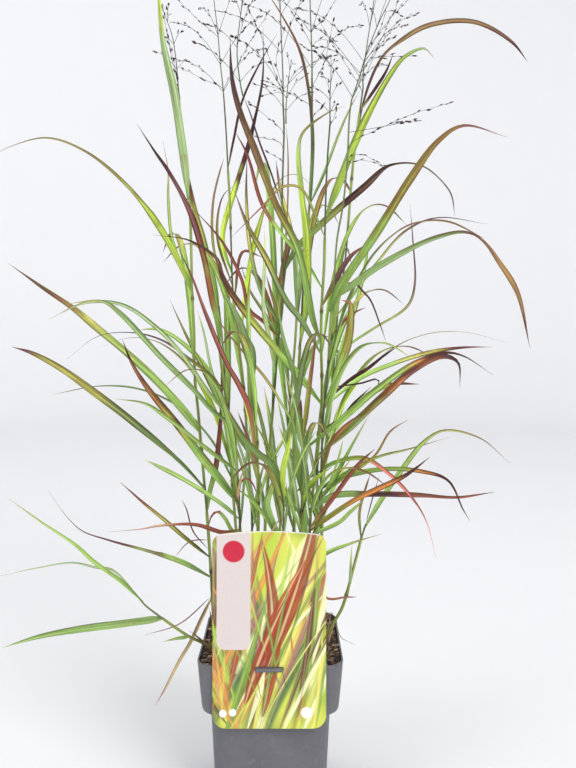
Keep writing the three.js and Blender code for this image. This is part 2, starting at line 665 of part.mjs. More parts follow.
/** A round piece along a curve, with a radius at each end. */
function roundAlong(curve, startRadius, endRadius, steps, sides) {
  const rings = [];
  const out = new THREE.Vector3(0, 1, 0.2).normalize();
  for (let step = 0; step <= steps; step += 1) {
    const share = step / steps;
    const middle = curve.getPoint(share);
    const along = curve.getTangent(share);
    const across = along.clone().cross(out).normalize();
    const radius = THREE.MathUtils.lerp(startRadius, endRadius, share);
    rings.push(Array.from({ length: sides }, (_, side) => across.clone()
      .applyAxisAngle(along, side * 2 * Math.PI / sides).multiplyScalar(radius).add(middle)));
  }
  return loft(rings);
}

/** A flat blade along a curve, that narrows to its tip. */
function bladeAlong(curve, width, turn, arching) {
  const wanted = Math.round(curve.getLength() / BLADE_STEP) + 2;
  const steps = Math.min(BLADE_MOST_STEPS, wanted);
  const rings = [];
  for (let step = 0; step <= steps; step += 1) {
    const share = step / steps;
    const { middle, along, across } = bladeStation(curve, share, turn, arching);
    const side = across.clone().multiplyScalar(bladeHalfWidth(width, share));
    const skin = along.clone().cross(across).multiplyScalar(BLADE_THICKNESS / 2);
    rings.push([
      middle.clone().sub(side).add(skin),
      middle.clone().add(side).add(skin),
      middle.clone().add(side).sub(skin),
      middle.clone().sub(side).sub(skin),
    ]);
  }
  return loft(rings);
}

/** A stem's curve: straight out of the mix, then along its sheet course. */
function stemCurve(stem) {
  const course = sheetCurve(pairs(stem.course), ...stem.depth).points;
  const [x, y] = stem.foot;
  const foot = new THREE.Vector3(x, y, SOIL_EDGE - STEM_SET_DEPTH);
  const collar = foot.clone().lerp(course[0], 0.04).setZ(SOIL_EDGE + 1);
  return new THREE.CatmullRomCurve3([foot, collar, ...course]);
}

const stemCurves = STEMS.map(stemCurve);
STEMS.forEach((stem, i) => take(trail(stemCurves[i]), stem.name));

let bladeCount = 0;
// The curve of each stem's blades, by the stem's name.
const bladeCurves = {};
const stemSolids = STEMS.map((stem, i) => {
  const curve = stemCurves[i];
  const steps = Math.round(curve.getLength() / STEM_STEP) + 3;
  const topRadius = stem.radius * STEM_TOP_SHARE;
  let solid = solidOf(roundAlong(curve, stem.radius, topRadius, steps, STEM_SIDES));
  bladeCurves[stem.name] = [];
  for (const [v, depthEnd, width, course] of stem.blades) {
    bladeCount += 1;
    const side = draw(bladeCount) < 0.5 ? -1 : 1;
    const turn = [side * BLADE_TURN, side * BLADE_TIP_TURN * (1 + draw(bladeCount + 0.5))];
    const collar = collarOf(stem, v);
    const points = [[collar.u, collar.v], ...pairs(course)];
    const blade = clearest(
      stem.name,
      (lean, bow) => sheetCurve(points, collar.depth, depthEnd + lean, bow),
      (trial) => trail(trial, width, turn),
    );
    bladeCurves[stem.name].push(blade);
    solid = solid.add(solidOf(bladeAlong(blade, width, turn, false)));
  }
  for (const [v, heading, reach, rise, width] of stem.arches) {
    bladeCount += 1;
    const turn = [0, ARCH_TWIST * (draw(bladeCount) - 0.5)];
    const collar = collarOf(stem, v);
    const blade = clearest(
      stem.name,
      (lean, bow) => archCurve(collar, heading + lean, reach, rise + bow),
      (trial) => trail(trial, width, turn, true),
    );
    solid = solid.add(solidOf(bladeAlong(blade, width, turn, true)));
  }
  return solid;
});

// ---------------------------------------------------------------- seed heads

/** One branch of a seed head: it leaves the axis, rises, and nods a little. */
function branchCurve(start, azimuth, length, climb) {
  const out = new THREE.Vector3(Math.cos(azimuth), Math.sin(azimuth), 0);
  const points = [0, 0.35, 0.7, 1].map((share) => start.clone()
    .addScaledVector(out, length * 0.8 * share)
    .add(new THREE.Vector3(0, 0, length * climb * (share - 0.45 * share ** 2))));
  return new THREE.CatmullRomCurve3(points);
}

/** A thin branch with three sides that swells to a spikelet halfway and ends in another. */
function beadedBranch(curve) {
  const length = curve.getLength();
  const bead = Math.min(0.25, SPIKELET_LENGTH / length);
  const stations = [
    [0, BRANCH_RADIUS],
    [0.55 - bead, BRANCH_RADIUS],
    [0.55 - 0.5 * bead, SPIKELET_RADIUS],
    [0.55, BRANCH_RADIUS],
    [1 - bead, BRANCH_RADIUS],
    [1 - 0.55 * bead, SPIKELET_RADIUS],
    [1, BRANCH_RADIUS / 4],
  ];
  const up = new THREE.Vector3(0, 0.1, 1);
  return loft(stations.map(([share, radius]) => {
    const along = curve.getTangent(share);
    const across = along.clone().cross(up).setLength(radius);
    return [0, 1, 2].map((side) => across.clone()
      .applyAxisAngle(along, side * 2 * Math.PI / 3).add(curve.getPoint(share)));
  }));
}

let headCount = 0;
STEMS.forEach((stem, i) => {
  stem.heads.forEach(([stalk, depthEnd, branchLength, bareShare, course]) => {
    headCount += 1;
    const name = `seed_head_${String(headCount).padStart(2, "0")}`;
    const carrier = stalk === TOP ? stemCurves[i] : bladeCurves[stem.name][stalk];
    const depthStart = stalk === TOP ? stem.depth[1] : stem.blades[stalk][1];
    const foot = carrier.getPoint(1).addScaledVector(carrier.getTangent(1), FIT_GAP);
    const axisPoints = sheetCurve(pairs(course), depthStart, depthEnd).points;
    const axis = new THREE.CatmullRomCurve3([foot, ...axisPoints]);
    const length = axis.getLength();
    const steps = Math.round(length / AXIS_STEP) + 3;
    let solid = solidOf(roundAlong(axis, AXIS_RADIUS, AXIS_RADIUS, steps, AXIS_SIDES));
    take(trail(axis), name);
    const whorls = Math.max(4, Math.round(length * (1 - bareShare) / WHORL_STEP));
    for (let whorl = 0; whorl < whorls; whorl += 1) {
      const height = bareShare + (1 - bareShare) * (whorl + 0.35) / whorls;
      for (let twin = 0; twin < WHORL_BRANCHES; twin += 1) {
        const number = headCount * 100 + whorl * WHORL_BRANCHES + twin;
        const reach = branchLength * (1.1 - 0.75 * height) * (0.75 + 0.5 * draw(number));
        const heading = GOLDEN_ANGLE * whorl + TWIN_ANGLE * twin + draw(number + 0.3);
        const climb = 0.95 + 0.5 * draw(number + 0.6);
        const root = axis.getPoint(height);
        const branch = clearest(
          name,
          (lean, bow) => branchCurve(root, heading + lean / 25, reach, climb + bow / 40),
          (trial) => trail(trial),
        );
        solid = solid.add(solidOf(beadedBranch(branch)));
      }
    }
    addPiece(name, geometryOf(solid), 0x4b2a38, 0.8);
  });
});

STEMS.forEach((stem, i) => addPiece(stem.name, geometryOf(stemSolids[i]), 0x6f8f3c, 0.6));

// ---------------------------------------------------------------- potting mix

/** The rings of the mound, from its edge to near its middle, each with its own lumps. */
function moundRings() {
  const rings = [];
  const [edge] = insideRings(SOIL_INSET, POT_FLOOR, SOIL_EDGE);
  for (let ring = 1; ring <= SOIL_RINGS; ring += 1) {
    const share = 1 - ring / (SOIL_RINGS + 1);
    rings.push(edge.map((point, i) => {
      const height = SOIL_EDGE + (SOIL_CROWN - SOIL_EDGE) * (1 - share ** 2);
      const lump = SOIL_LUMP * (draw(ring * 50 + i) - 0.5);
      return new THREE.Vector3(point.x * share, point.y * share, height + lump);
    }));
  }
  return rings;
}

const soilRings = [
  ...insideRings(SOIL_INSET, POT_FLOOR + FIT_GAP, SOIL_EDGE).reverse(),
  ...moundRings(),
];
let soil = solidOf(loft(soilRings));
STEMS.forEach((stem, i) => {
  const steps = Math.round(stemCurves[i].getLength() / STEM_STEP) + 3;
  const radius = stem.radius + WELL_CLEARANCE;
  const topRadius = stem.radius * STEM_TOP_SHARE + WELL_CLEARANCE;
  const well = roundAlong(stemCurves[i], radius, topRadius, steps, STEM_SIDES);
  soil = soil.subtract(solidOf(well));
});
addPiece("potting_mix", geometryOf(soil), 0x2b2320, 0.95);

export default pieces;
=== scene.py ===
"""Switchgrass in its nursery pot: the looks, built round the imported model.

Lengths are worked out in millimetres and written to the meshes in metres. Each piece has its
place in its mesh, and rides the part's one body.
"""
import math

import bpy
import numpy as np
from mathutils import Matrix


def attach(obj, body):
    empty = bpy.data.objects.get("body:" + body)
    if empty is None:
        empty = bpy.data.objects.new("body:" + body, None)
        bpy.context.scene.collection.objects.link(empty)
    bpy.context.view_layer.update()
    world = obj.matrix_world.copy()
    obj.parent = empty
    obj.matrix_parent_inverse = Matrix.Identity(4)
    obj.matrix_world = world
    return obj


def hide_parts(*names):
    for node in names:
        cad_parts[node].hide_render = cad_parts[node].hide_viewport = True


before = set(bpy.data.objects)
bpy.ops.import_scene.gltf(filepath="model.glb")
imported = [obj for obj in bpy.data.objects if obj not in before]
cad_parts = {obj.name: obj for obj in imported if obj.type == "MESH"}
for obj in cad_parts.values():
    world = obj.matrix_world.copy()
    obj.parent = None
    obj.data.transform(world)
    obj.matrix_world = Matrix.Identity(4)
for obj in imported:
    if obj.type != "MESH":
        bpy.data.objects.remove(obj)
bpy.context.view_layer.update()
scene = bpy.context.scene

# ---------------------------------------------------------------- sweep, light and camera
# A photographer's cove: a round pale floor that sweeps up into its wall with no line. A large
# soft panel over the right shoulder is the key light; others stand at the left and above, and
# a last one lights the wall.

MM = 0.001
SWEEP_START = 2.3
SWEEP_RADIUS = 0.9
SWEEP_TOP = 2.9
SWEEP_SIDES = 96
SWEEP_BEND_STEPS = 20


def grid_quads(rows, columns, closed=False):
    """Quads between neighbours on a grid of points, row after row. A closed grid joins each
    row's last point to its first."""
    row = np.arange(rows - 1)[:, None]
    column = np.arange(columns if closed else columns - 1)[None, :]
    after = (column + 1) % columns
    corners = [row * columns + column, row * columns + after,
               (row + 1) * columns + after, (row + 1) * columns + column]
    return np.stack(np.broadcast_arrays(*corners), -1).reshape(-1, 4)


def new_mesh(name, points, faces, uv=None, tone=None):
    """An object of the given points (mm) and faces. uv is a pair, and tone a linear colour,
    at each point."""
    mesh = bpy.data.meshes.new(name)
    mesh.from_pydata((np.asarray(points) * MM).tolist(), [], [list(map(int, f)) for f in faces])
    if uv is not None:
        corners = np.empty(len(mesh.loops), dtype=np.int32)
        mesh.loops.foreach_get("vertex_index", corners)
        layer = mesh.uv_layers.new(name="grain")
        layer.data.foreach_set("uv", np.asarray(uv, dtype=np.float32)[corners].ravel())
    if tone is not None:
        full = np.column_stack([tone, np.ones(len(tone))]).astype(np.float32)
        layer = mesh.color_attributes.new("tone", "FLOAT_COLOR", "POINT")
        layer.data.foreach_set("color", full.ravel())
    mesh.shade_smooth()
    piece = bpy.data.objects.new(name, mesh)
    scene.collection.objects.link(piece)
    return piece


def srgb(*values):
    """Linear light values of a colour given as it looks on a screen, 0 to 1."""
    return np.array([((v + 0.055) / 1.055) ** 2.4 if v > 0.04 else v / 12.92 for v in values])


class Finish:
    """A material with one Principled shader, and a maker for each kind of node before it. Every
    maker returns the new node's output."""

    def __init__(self, name, roughness, specular):
        self.material = bpy.data.materials.new(name)
        self.material.use_nodes = True
        self.tree = self.material.node_tree
        self.shader = self.tree.nodes["Principled BSDF"].inputs
        self.shader["Roughness"].default_value = roughness
        self.shader["Specular IOR Level"].default_value = specular

    def node(self, kind, output, inputs, **settings):
        made = self.tree.nodes.new("ShaderNode" + kind)
        for key, value in settings.items():
            setattr(made, key, value)
        for key, value in inputs.items():
            if isinstance(value, bpy.types.NodeSocket):
                self.tree.links.new(value, made.inputs[key])
            else:
                made.inputs[key].default_value = value
        return made.outputs[output]

    def noise(self, scale, detail, roughness=0.5, place=None):
        """Noise in the piece's own space, or over the place given."""
        place = place or self.node("TexCoord", "Object", {})
        return self.node("TexNoise", "Fac", {"Vector": place, "Scale": scale, "Detail": detail,
                                             "Roughness": roughness})

    def span(self, value, low, high, start=0.0, end=1.0):
        """The stretch of a value from start to end, moved onto low to high."""
        return self.node("MapRange", "Result", {"Value": value, "From Min": start, "From Max": end,
                                                "To Min": low, "To Max": high})

    def ramp(self, value, low, high, start=0.0, end=1.0):
        """A colour that goes from low to high as a value goes from start to end."""
        colour = self.node("ValToRGB", "Color", {"Fac": value})
        for stop, at, paint in zip(colour.node.color_ramp.elements, (start, end), (low, high)):
            stop.position, stop.color = at, (*paint, 1)
        return colour

    def mix(self, share, below, above, way="MIX"):
        """One colour laid over another, or multiplied by it."""
        return self.node("Mix", "Result", {"Factor": share, "A": below, "B": above},
                         data_type="RGBA", blend_type=way)

    def tone(self):
        """The colour that the mesh carries at its points."""
        return self.node("Attribute", "Color", {}, attribute_name="tone")

    def bump(self, height, strength, distance, **under):
        """Relief from a height, over another relief if Normal is given."""
        return self.node("Bump", "Normal", {"Height": height, "Strength": strength,
                                            "Distance": distance, **under})

    def done(self, colour, relief=None, roughness=None):
        """The material, its shader linked to a colour, a relief and a roughness."""
        for name, value in (("Base Color", colour), ("Normal", relief), ("Roughness", roughness)):
            if value is not None:
                self.tree.links.new(value, self.shader[name])
        return self.material


def sweep_surface():
    """Floor, quarter circle and wall: a profile of radius and height, turned about Z."""
    rise = np.linspace(0, math.pi / 2, SWEEP_BEND_STEPS)
    profile = np.vstack([
        [[0.02, 0], [0.6, 0], [SWEEP_START * 0.7, 0]],
        np.column_stack([SWEEP_START + SWEEP_RADIUS * np.sin(rise),
                         SWEEP_RADIUS * (1 - np.cos(rise))]),
        [[SWEEP_START + SWEEP_RADIUS, SWEEP_TOP]],
    ])
    turn = np.arange(SWEEP_SIDES) * 2 * math.pi / SWEEP_SIDES
    points = np.stack([profile[:, :1] * np.cos(turn), profile[:, :1] * np.sin(turn),
                       np.repeat(profile[:, 1:], SWEEP_SIDES, 1)], -1)
    faces = list(grid_quads(len(profile), SWEEP_SIDES, closed=True)) + [range(SWEEP_SIDES)]
    return points.reshape(-1, 3) / MM, faces


sweep = new_mesh("studio_sweep", *sweep_surface())
paper = Finish("backdrop_paper", 0.9, 0.1)
paper.shader["Base Color"].default_value = (*srgb(0.943, 0.944, 0.95), 1)
sweep.data.materials.append(paper.material)


def light_panel(name, place, aim, size, watts):
    """A square soft light at a place, turned towards a point."""
    lamp = bpy.data.lights.new(name, "AREA")
    lamp.size = size
    lamp.energy = watts
    panel = bpy.data.objects.new(name, lamp)
    panel.location = place
    way = np.array(aim) - np.array(place)
    panel.rotation_euler = (math.acos(-way[2] / np.linalg.norm(way)), 0,
                            math.atan2(way[1], way[0]) - math.pi / 2)
    scene.collection.objects.link(panel)


light_panel("key_panel", (1.75, -2.35, 1.75), (0, 0, 0.35), 1.6, 74)
light_panel("side_panel", (-1.8, -1.2, 1.2), (0, 0, 0.35), 1.2, 14)
light_panel("top_panel", (0.2, 0.3, 2.4), (0, 0.1, 0.3), 1.6, 3)
light_panel("sweep_panel", (-0.7, 0.9, 2.5), (-0.9, 2.7, 0.4), 1.6, 9)
world = bpy.data.worlds.new("studio_air")
world.use_nodes = True
world.node_tree.nodes["Background"].inputs["Color"].default_value = (0.975, 0.975, 0.99, 1)
world.node_tree.nodes["Background"].inputs["Strength"].default_value = 0.55
scene.world = world
scene.view_settings.view_transform = "Standard"

EYE = np.array([13.5, -660.0, 378.0])
lens = bpy.data.cameras.new("eye")
lens.sensor_width = 36
lens.lens = 37.83
lens.shift_y = -0.0846
lens.clip_start = 0.05
eye = bpy.data.objects.new("eye", lens)
eye.location = EYE * MM
eye.rotation_euler = (math.pi / 2, 0, 0)
scene.collection.objects.link(eye)
scene.camera = eye

# ---------------------------------------------------------------- nursery pot
# A one-litre square pot, blow-moulded in thin dark grey plastic, with round corners, a deep
# band under the rim and a step below it. The rim's front lug is moulded on and holds the card.

POT_HEIGHT = 118
POT_WALL = 1.2
POT_FLOOR = 1.8
POT_STEP = 82
POT_BOW = 0.35
POT_BOW_REACH = 45
POT_BOW_FULL_AT = 30
# Half width, height and corner radius of the outside, from the foot up to the rim.
POT_OUTSIDE = np.array([
    [40, 0, 9.4], [40.8, 0.3, 10], [41.8, 0.9, 10.7], [42.4, 2, 11], [43.3, 20, 11.2],
    [44.3, 40, 11.5], [45.3, 60, 11.8], [46.2, 76.4, 12], [46.5, 77.4, 12.1], [47.4, 78, 12.3],
    [49.6, 78.2, 12.8], [51, 78.5, 13.2], [51.9, 79.3, 13.4], [52.4, 80.6, 13.5],
    [52.7, 82.4, 13.5], [53.8, 94, 13.6], [54.9, 106, 13.8], [55.7, 116.4, 14],
    [55.8, 117.6, 14], [55.6, POT_HEIGHT, 13.9],
])
CORNER_POINTS = 10
SIDE_POINTS = 9
LUG_WIDTH = 20.4
LUG_BACK = -54.2
LUG_FRONT = -60.8
LUG_HEIGHT = 2.6
DRAIN_RADIUS = 4
DRAIN_RING = 25
DRAIN_COUNT = 8
DRAIN_SIDES = 20


def square_ring(half, radius, height):
    """A square of a half width with round corners, at a height, counter-clockwise from above:
    a quarter circle in each corner, and even steps along each side."""
    corners = []
    for corner in range(4):
        middle = (corner + 0.5) * math.pi / 2
        cx = math.copysign(half - radius, math.cos(middle))
        cy = math.copysign(half - radius, math.sin(middle))
        turn = (corner + np.linspace(0, 1, CORNER_POINTS)) * math.pi / 2
        corners.append(np.column_stack([cx + radius * np.cos(turn), cy + radius * np.sin(turn)]))
    step = np.linspace(0, 1, SIDE_POINTS + 2)[1:-1, None]
    flat = np.vstack([line for one, after in zip(corners, corners[1:] + corners[:1])
                      for line in (one, one[-1] * (1 - step) + after[0] * step)])
    return np.column_stack([flat, np.full(len(flat), height)])


def bodies(rings):
    """Points and faces of closed bodies, from an array of body, ring, point and axis: quads
    join each ring to the next, and a cap closes the first and the last."""
    many, rows, sides = rings.shape[:3]
    start = rows * sides * np.arange(many)[:, None, None]
    quads = (grid_quads(rows, sides, closed=True)[None] + start).reshape(-1, 4)
    caps = np.array([np.arange(sides)[::-1], (rows - 1) * sides + np.arange(sides)])
    return rings.reshape(-1, 3), list(quads) + list((caps[None] + start).reshape(-1, sides))


def value_noise(points, scale, seed):
    """Smooth noise between -1 and 1 at points, with lumps of about the given size: draws at
    the corners of a lattice, blended with an eased weight along each axis."""
    q = np.asarray(points) / scale
    cell = np.floor(q).astype(np.int64)
    ease = (q - cell) ** 2 * (3 - 2 * (q - cell))
    total = np.zeros(len(q))
    for corner in range(8):
        offset = np.array([corner & 1, corner >> 1 & 1, corner >> 2 & 1])
        wave = np.sin(((cell + offset) @ np.array([127.1, 311.7, 74.7])) + seed * 53.7) * 43758.5453
        weight = np.prod(np.where(offset == 1, ease, 1 - ease), axis=1)
        total += weight * (wave - np.floor(wave))
    return total * 2 - 1


def within(value):
    """A value kept between 0 and 1."""
    return np.clip(value, 0, 1)


def pot_surface():
    """The pot's wall: rings up the outside, over the rim and down the inside, then the floor's
    two faces as rings that shrink to a small one, and closed there."""
    inner = POT_OUTSIDE[:1:-1] - [POT_WALL, 0, POT_WALL]
    inner[1:-3, 1] += np.where(inner[1:-3, 1] < POT_STEP, POT_WALL, 0)
    inner = inner[inner[:, 1] > POT_FLOOR + 2]
    floor_in = [[inner[-1, 0] - 1.6, POT_FLOOR + 0.6, 9.4], [inner[-1, 0] - 2.6, POT_FLOOR, 8.6]]
    under = [[4, 0, 3.9], [20, 0, 7], [34, 0, 8.4]]
    over = [[34, POT_FLOOR, 8], [20, POT_FLOOR, 7], [4, POT_FLOOR, 3.9]]
    profile = np.vstack([under, POT_OUTSIDE, inner, floor_in, over])
    rings = np.array([square_ring(half, radius, height) for half, height, radius in profile])
    # The thin sides bow in a little between the corners.
    flat = rings[..., :2]
    bow = POT_BOW * np.cos(np.clip(flat / POT_BOW_REACH, -1, 1) * math.pi / 2).max(-1)
    bow *= within(rings[..., 2] / POT_BOW_FULL_AT)
    lean = 1 - bow / np.maximum(POT_OUTSIDE[0, 0], np.abs(flat).max(-1))
    flat *= lean[..., None]
    return bodies(rings[None])


pot = new_mesh("nursery_pot", *pot_surface())
for hole in range(DRAIN_COUNT):
    angle = (hole + 0.5) * 2 * math.pi / DRAIN_COUNT
    turn = np.linspace(0, 2 * math.pi, DRAIN_SIDES, endpoint=False)
    rim = np.column_stack([DRAIN_RING * math.cos(angle) + DRAIN_RADIUS * np.cos(turn),
                           DRAIN_RING * math.sin(angle) + DRAIN_RADIUS * np.sin(turn)])
    drill = new_mesh("drill", *bodies(np.array([[np.column_stack([rim, np.full(DRAIN_SIDES, z)])
                                                 for z in (-5, 9)]])))
    cut = pot.modifiers.new("drain", "BOOLEAN")
    cut.operation = "DIFFERENCE"
    cut.object = drill
    bpy.context.view_layer.objects.active = pot
    bpy.ops.object.modifier_apply(modifier=cut.name)
    bpy.data.objects.remove(drill)


def lug_surface():
    """The lug: a flat bar whose front edge droops into a small hook, swept across X."""
    back, front, top, low = LUG_BACK, LUG_FRONT, POT_HEIGHT, POT_HEIGHT - LUG_HEIGHT
    profile = np.array([[back, low], [front + 0.9, low], [front + 0.3, low + 0.2],
                        [front, low + 0.8], [front, top - 1], [front + 0.4, top - 0.3],
                        [front + 1.2, top], [back, top]])
    middle = profile.mean(0)
    # Where each cross-section stands, in half widths, and how far it is drawn in.
    sections = [(-1, 0.105), (-0.97, 0), (0.97, 0), (1, 0.105)]
    return bodies(np.array([[np.column_stack([np.full(len(profile), -0.5 + x * LUG_WIDTH / 2),
                                              middle + (profile - middle) * (1 - drawn_in)])
                             for x, drawn_in in sections]]))


def pot_plastic():
    """Dark grey moulded plastic: a fine grain, faint flow clouds and specks of pale dust."""
    plastic = Finish("pot_plastic", 0.48, 0.45)
    clouds = plastic.noise(28.0, 4.0, 0.6)
    colour = plastic.ramp(clouds, srgb(0.35, 0.35, 0.368), srgb(0.4, 0.4, 0.42), 0.3, 0.72)
    dust = plastic.span(plastic.noise(190.0, 3.0), 0.0, 0.4, 0.6, 0.78)
    grain = plastic.bump(plastic.noise(2600.0, 2.0), 0.12, 0.0002)
    ripple = plastic.bump(plastic.noise(45.0, 1.0), 0.25, 0.0012, Normal=grain)
    return plastic.done(plastic.mix(dust, colour, (*srgb(0.5, 0.49, 0.48), 1)), ripple,
                        plastic.span(clouds, 0.4, 0.6))


lug = new_mesh("rim_lug", *lug_surface())
plastic = pot_plastic()
for piece in (pot, lug):
    piece.data.set_sharp_from_angle(angle=math.radians(40))
    piece.data.materials.append(plastic)
    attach(piece, "root")
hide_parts("pot")

# ---------------------------------------------------------------- potting mix
# Moist peat and shredded bark, filled to just under the rim and settled into a low mound, with
# bark chips and root fibres lying on it as they fell.

MIX_EDGE = 116.6
MIX_CROWN = 121
MIX_REACH = 53
MIX_RIM = (53.6, 12, MIX_EDGE)
MIX_RINGS = 46
# Half width, height and corner radius inside the wall, from the floor up.
MIX_SIDE = [(39.4, 2.2, 9), (43.4, 60, 10), (44.2, 76.4, 10.4), (48.6, 81, 11.6), (51.6, 100, 12),
            (53.2, MIX_EDGE - 3, 12)]
CHIP_COUNT = 900
CHIP_REACH = 51.5
FIBRE_COUNT = 300
FIBRE_REACH = 46
FIBRE_LIMIT = 53.2
FIBRE_STEPS = 7
rng = np.random.default_rng(11)


def mound_height(x, y):
    """Height of the mix: a low dome on the square, with lumps of three sizes."""
    share = within(np.maximum(np.abs(x), np.abs(y)) / MIX_REACH)
    flat = np.column_stack([x, y, np.zeros_like(x)])
    lumps = (1.3 * value_noise(flat, 11, 1) + 0.8 * value_noise(flat, 4.2, 2)
             + 0.45 * value_noise(flat, 1.7, 3))
    return MIX_EDGE + (MIX_CROWN - MIX_EDGE) * (1 - share ** 2) + lumps * (1 - 0.5 * share ** 6)


def mix_surface():
    """The mix as one closed body: rings up inside the wall, then rings that shrink over the
    mound, each lifted by its lumps."""
    rings = [square_ring(half, radius, height) for half, height, radius in MIX_SIDE]
    for share in np.linspace(1, 0.012, MIX_RINGS):
        ring = square_ring(*MIX_RIM)
        ring[:, :2] *= share
        ring[:, 2] = mound_height(ring[:, 0], ring[:, 1])
        rings.append(ring)
    return bodies(np.array([rings]))


def scatter_places(count, reach):
    """Places on the mound inside the wall, more of them towards the corners, where the stems
    leave room."""
    flat = rng.uniform(-1, 1, (count, 2))
    flat = np.sign(flat) * np.abs(flat) ** 0.75 * reach
    return np.column_stack([flat, mound_height(flat[:, 0], flat[:, 1])])


def turned(vectors, spin, tilt):
    """Vectors of each piece tilted about X, then spun about Z: arrays of piece, point, axis."""
    cs, sn, ct, st = (a[:, None] for a in (np.cos(spin), np.sin(spin), np.cos(tilt), np.sin(tilt)))
    x, y, z = vectors[..., 0], vectors[..., 1], vectors[..., 2]
    y, z = y * ct - z * st, y * st + z * ct
    return np.stack([x * cs - y * sn, x * sn + y * cs, z], -1)


def shades(dark, pale, draws):
    """A tone for each draw, from a dark colour at 0 to a pale one at 1."""
    dark, pale = srgb(*dark), srgb(*pale)
    return dark + (pale - dark) * draws[:, None]


def bark_chips():
    """Chips: boxes with uneven corners, long along the bark's grain, half sunk in the mix."""
    corner = np.array([[x, y, z] for x in (-1, 1) for y in (-1, 1) for z in (-1, 1)], dtype=float)
    size = np.column_stack([rng.uniform(0.8, 3.6, CHIP_COUNT) ** 1.1,
                            rng.uniform(0.5, 1.7, CHIP_COUNT),
                            rng.uniform(0.3, 0.8, CHIP_COUNT)])
    shape = corner[None] * (1 + rng.uniform(-0.45, 0.2, (CHIP_COUNT, 8, 3))) * size[:, None]
    shape = turned(shape, rng.uniform(0, 2 * math.pi, CHIP_COUNT), rng.normal(0, 0.45, CHIP_COUNT))
    place = scatter_places(CHIP_COUNT, CHIP_REACH)
    place[:, 2] += rng.uniform(-0.2, 0.9, CHIP_COUNT)
    box = np.array([[0, 1, 3, 2], [4, 6, 7, 5], [0, 4, 5, 1],
                    [2, 3, 7, 6], [0, 2, 6, 4], [1, 5, 7, 3]])
    faces = (box[None] + 8 * np.arange(CHIP_COUNT)[:, None, None]).reshape(-1, 4)
    tone = shades((0.12, 0.08, 0.08), (0.88, 0.74, 0.62), rng.uniform(0, 1, CHIP_COUNT) ** 1.7)
    return (shape + place[:, None]).reshape(-1, 3), faces, None, np.repeat(tone, 8, 0)


def root_fibres():
    """Fibres: thin three-sided threads that curl over the crumbs in a flat arc."""
    share = np.linspace(-1, 1, FIBRE_STEPS)
    length = rng.uniform(4, 13, FIBRE_COUNT)[:, None]
    curl = rng.normal(0, 0.5, FIBRE_COUNT)[:, None]
    line = np.stack([share * length, curl * length * (share ** 2 - 0.3),
                     1.1 * (1 - share ** 2) * np.ones_like(length)], -1)
    line = turned(line, rng.uniform(0, 2 * math.pi, FIBRE_COUNT), rng.normal(0, 0.12, FIBRE_COUNT))
    line = line + scatter_places(FIBRE_COUNT, FIBRE_REACH)[:, None] + [0, 0, 0.9]
    line[..., :2] = np.clip(line[..., :2], -FIBRE_LIMIT, FIBRE_LIMIT)
    angle = np.arange(3) * 2 * math.pi / 3
    thick = rng.uniform(0.16, 0.42, FIBRE_COUNT)[:, None, None, None]
    ring = np.stack([np.zeros(3), np.cos(angle), np.sin(angle)], -1)
    spin = np.arctan2(line[:, -1, 1] - line[:, 0, 1], line[:, -1, 0] - line[:, 0, 0])
    spoke = turned(np.broadcast_to(ring, (FIBRE_COUNT, 3, 3)), spin, np.zeros(FIBRE_COUNT))
    tone = shades((0.3, 0.21, 0.16), (0.8, 0.68, 0.54), rng.uniform(0, 1, FIBRE_COUNT))
    points, faces = bodies(line[:, :, None] + spoke[:, None] * thick)
    return points, faces, None, np.repeat(tone, 3 * FIBRE_STEPS, 0)


def mix_finish(name, own_tone):
    """Peat: near black to brown by crumb. On chips and fibres the piece's own tone takes the
    place of the peat's."""
    peat = Finish(name, 0.85, 0.3)
    crumb = peat.noise(420.0, 5.0, 0.7)
    dark, pale = srgb(0.05, 0.04, 0.04), srgb(0.38, 0.29, 0.24)
    if own_tone:
        dark, pale = [0.45] * 3, [1] * 3
    colour = peat.ramp(crumb, dark, pale, 0.36, 0.72)
    if own_tone:
        colour = peat.mix(1.0, peat.tone(), colour, "MULTIPLY")
    return peat.done(colour, peat.bump(crumb, 0.8, 0.0008))


mix = new_mesh("potting_mix", *mix_surface())
mix.data.materials.append(mix_finish("peat", False))
chips = new_mesh("bark_chips", *bark_chips())
chips.data.set_sharp_from_angle(angle=math.radians(30))
fibres = new_mesh("root_fibres", *root_fibres())
bark = mix_finish("bark", True)
for piece in (chips, fibres):
    piece.data.materials.append(bark)
for piece in (mix, chips, fibres):
    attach(piece, "root")
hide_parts("potting_mix")

# ---------------------------------------------------------------- hang card
# A card of stiff white plastic film, printed and glossed on its face, die-cut with round
# corners and a slot. It hangs by the slot on the pot's lug. The print is a plain design of
# crossing grass blades with a pale panel, a crimson spot and blank discs, and has no words.

CARD_HALF = 42.5
CARD_LOW = 72.2
CARD_HIGH = 219.6
CARD_ARCH = 3
CARD_ARCH_FROM = 160
CARD_FOOT_RADIUS = 10
CARD_HEAD_RADIUS = 6.5
CARD_THICK = 0.8
CARD_X = -0.5
CARD_BACK = -56.8
CARD_STEP = 0.5
CARD_CURL = 0.35
CARD_CURL_FROM = 170
CARD_CURL_SPAN = 50
SLOT_HALF = LUG_WIDTH / 2 + 0.3
SLOT_LOW = POT_HEIGHT - LUG_HEIGHT - 0.6
SLOT_HIGH = POT_HEIGHT + 0.3
PANEL_LEFT, PANEL_RIGHT, PANEL_FOOT, PANEL_CORNER = -39.3, -14.0, 131.0, 6.2
# Round spots: place, radius and ink.
WHITE = (0.95, 0.94, 0.9)
SPOTS = (((-26.6, 204.5), 8.45, (0.74, 0.1, 0.22)), ((-34.6, 83.5), 3, WHITE),
         ((-27.4, 84.2), 3, WHITE), ((27.8, 84.2), 4.4, WHITE))
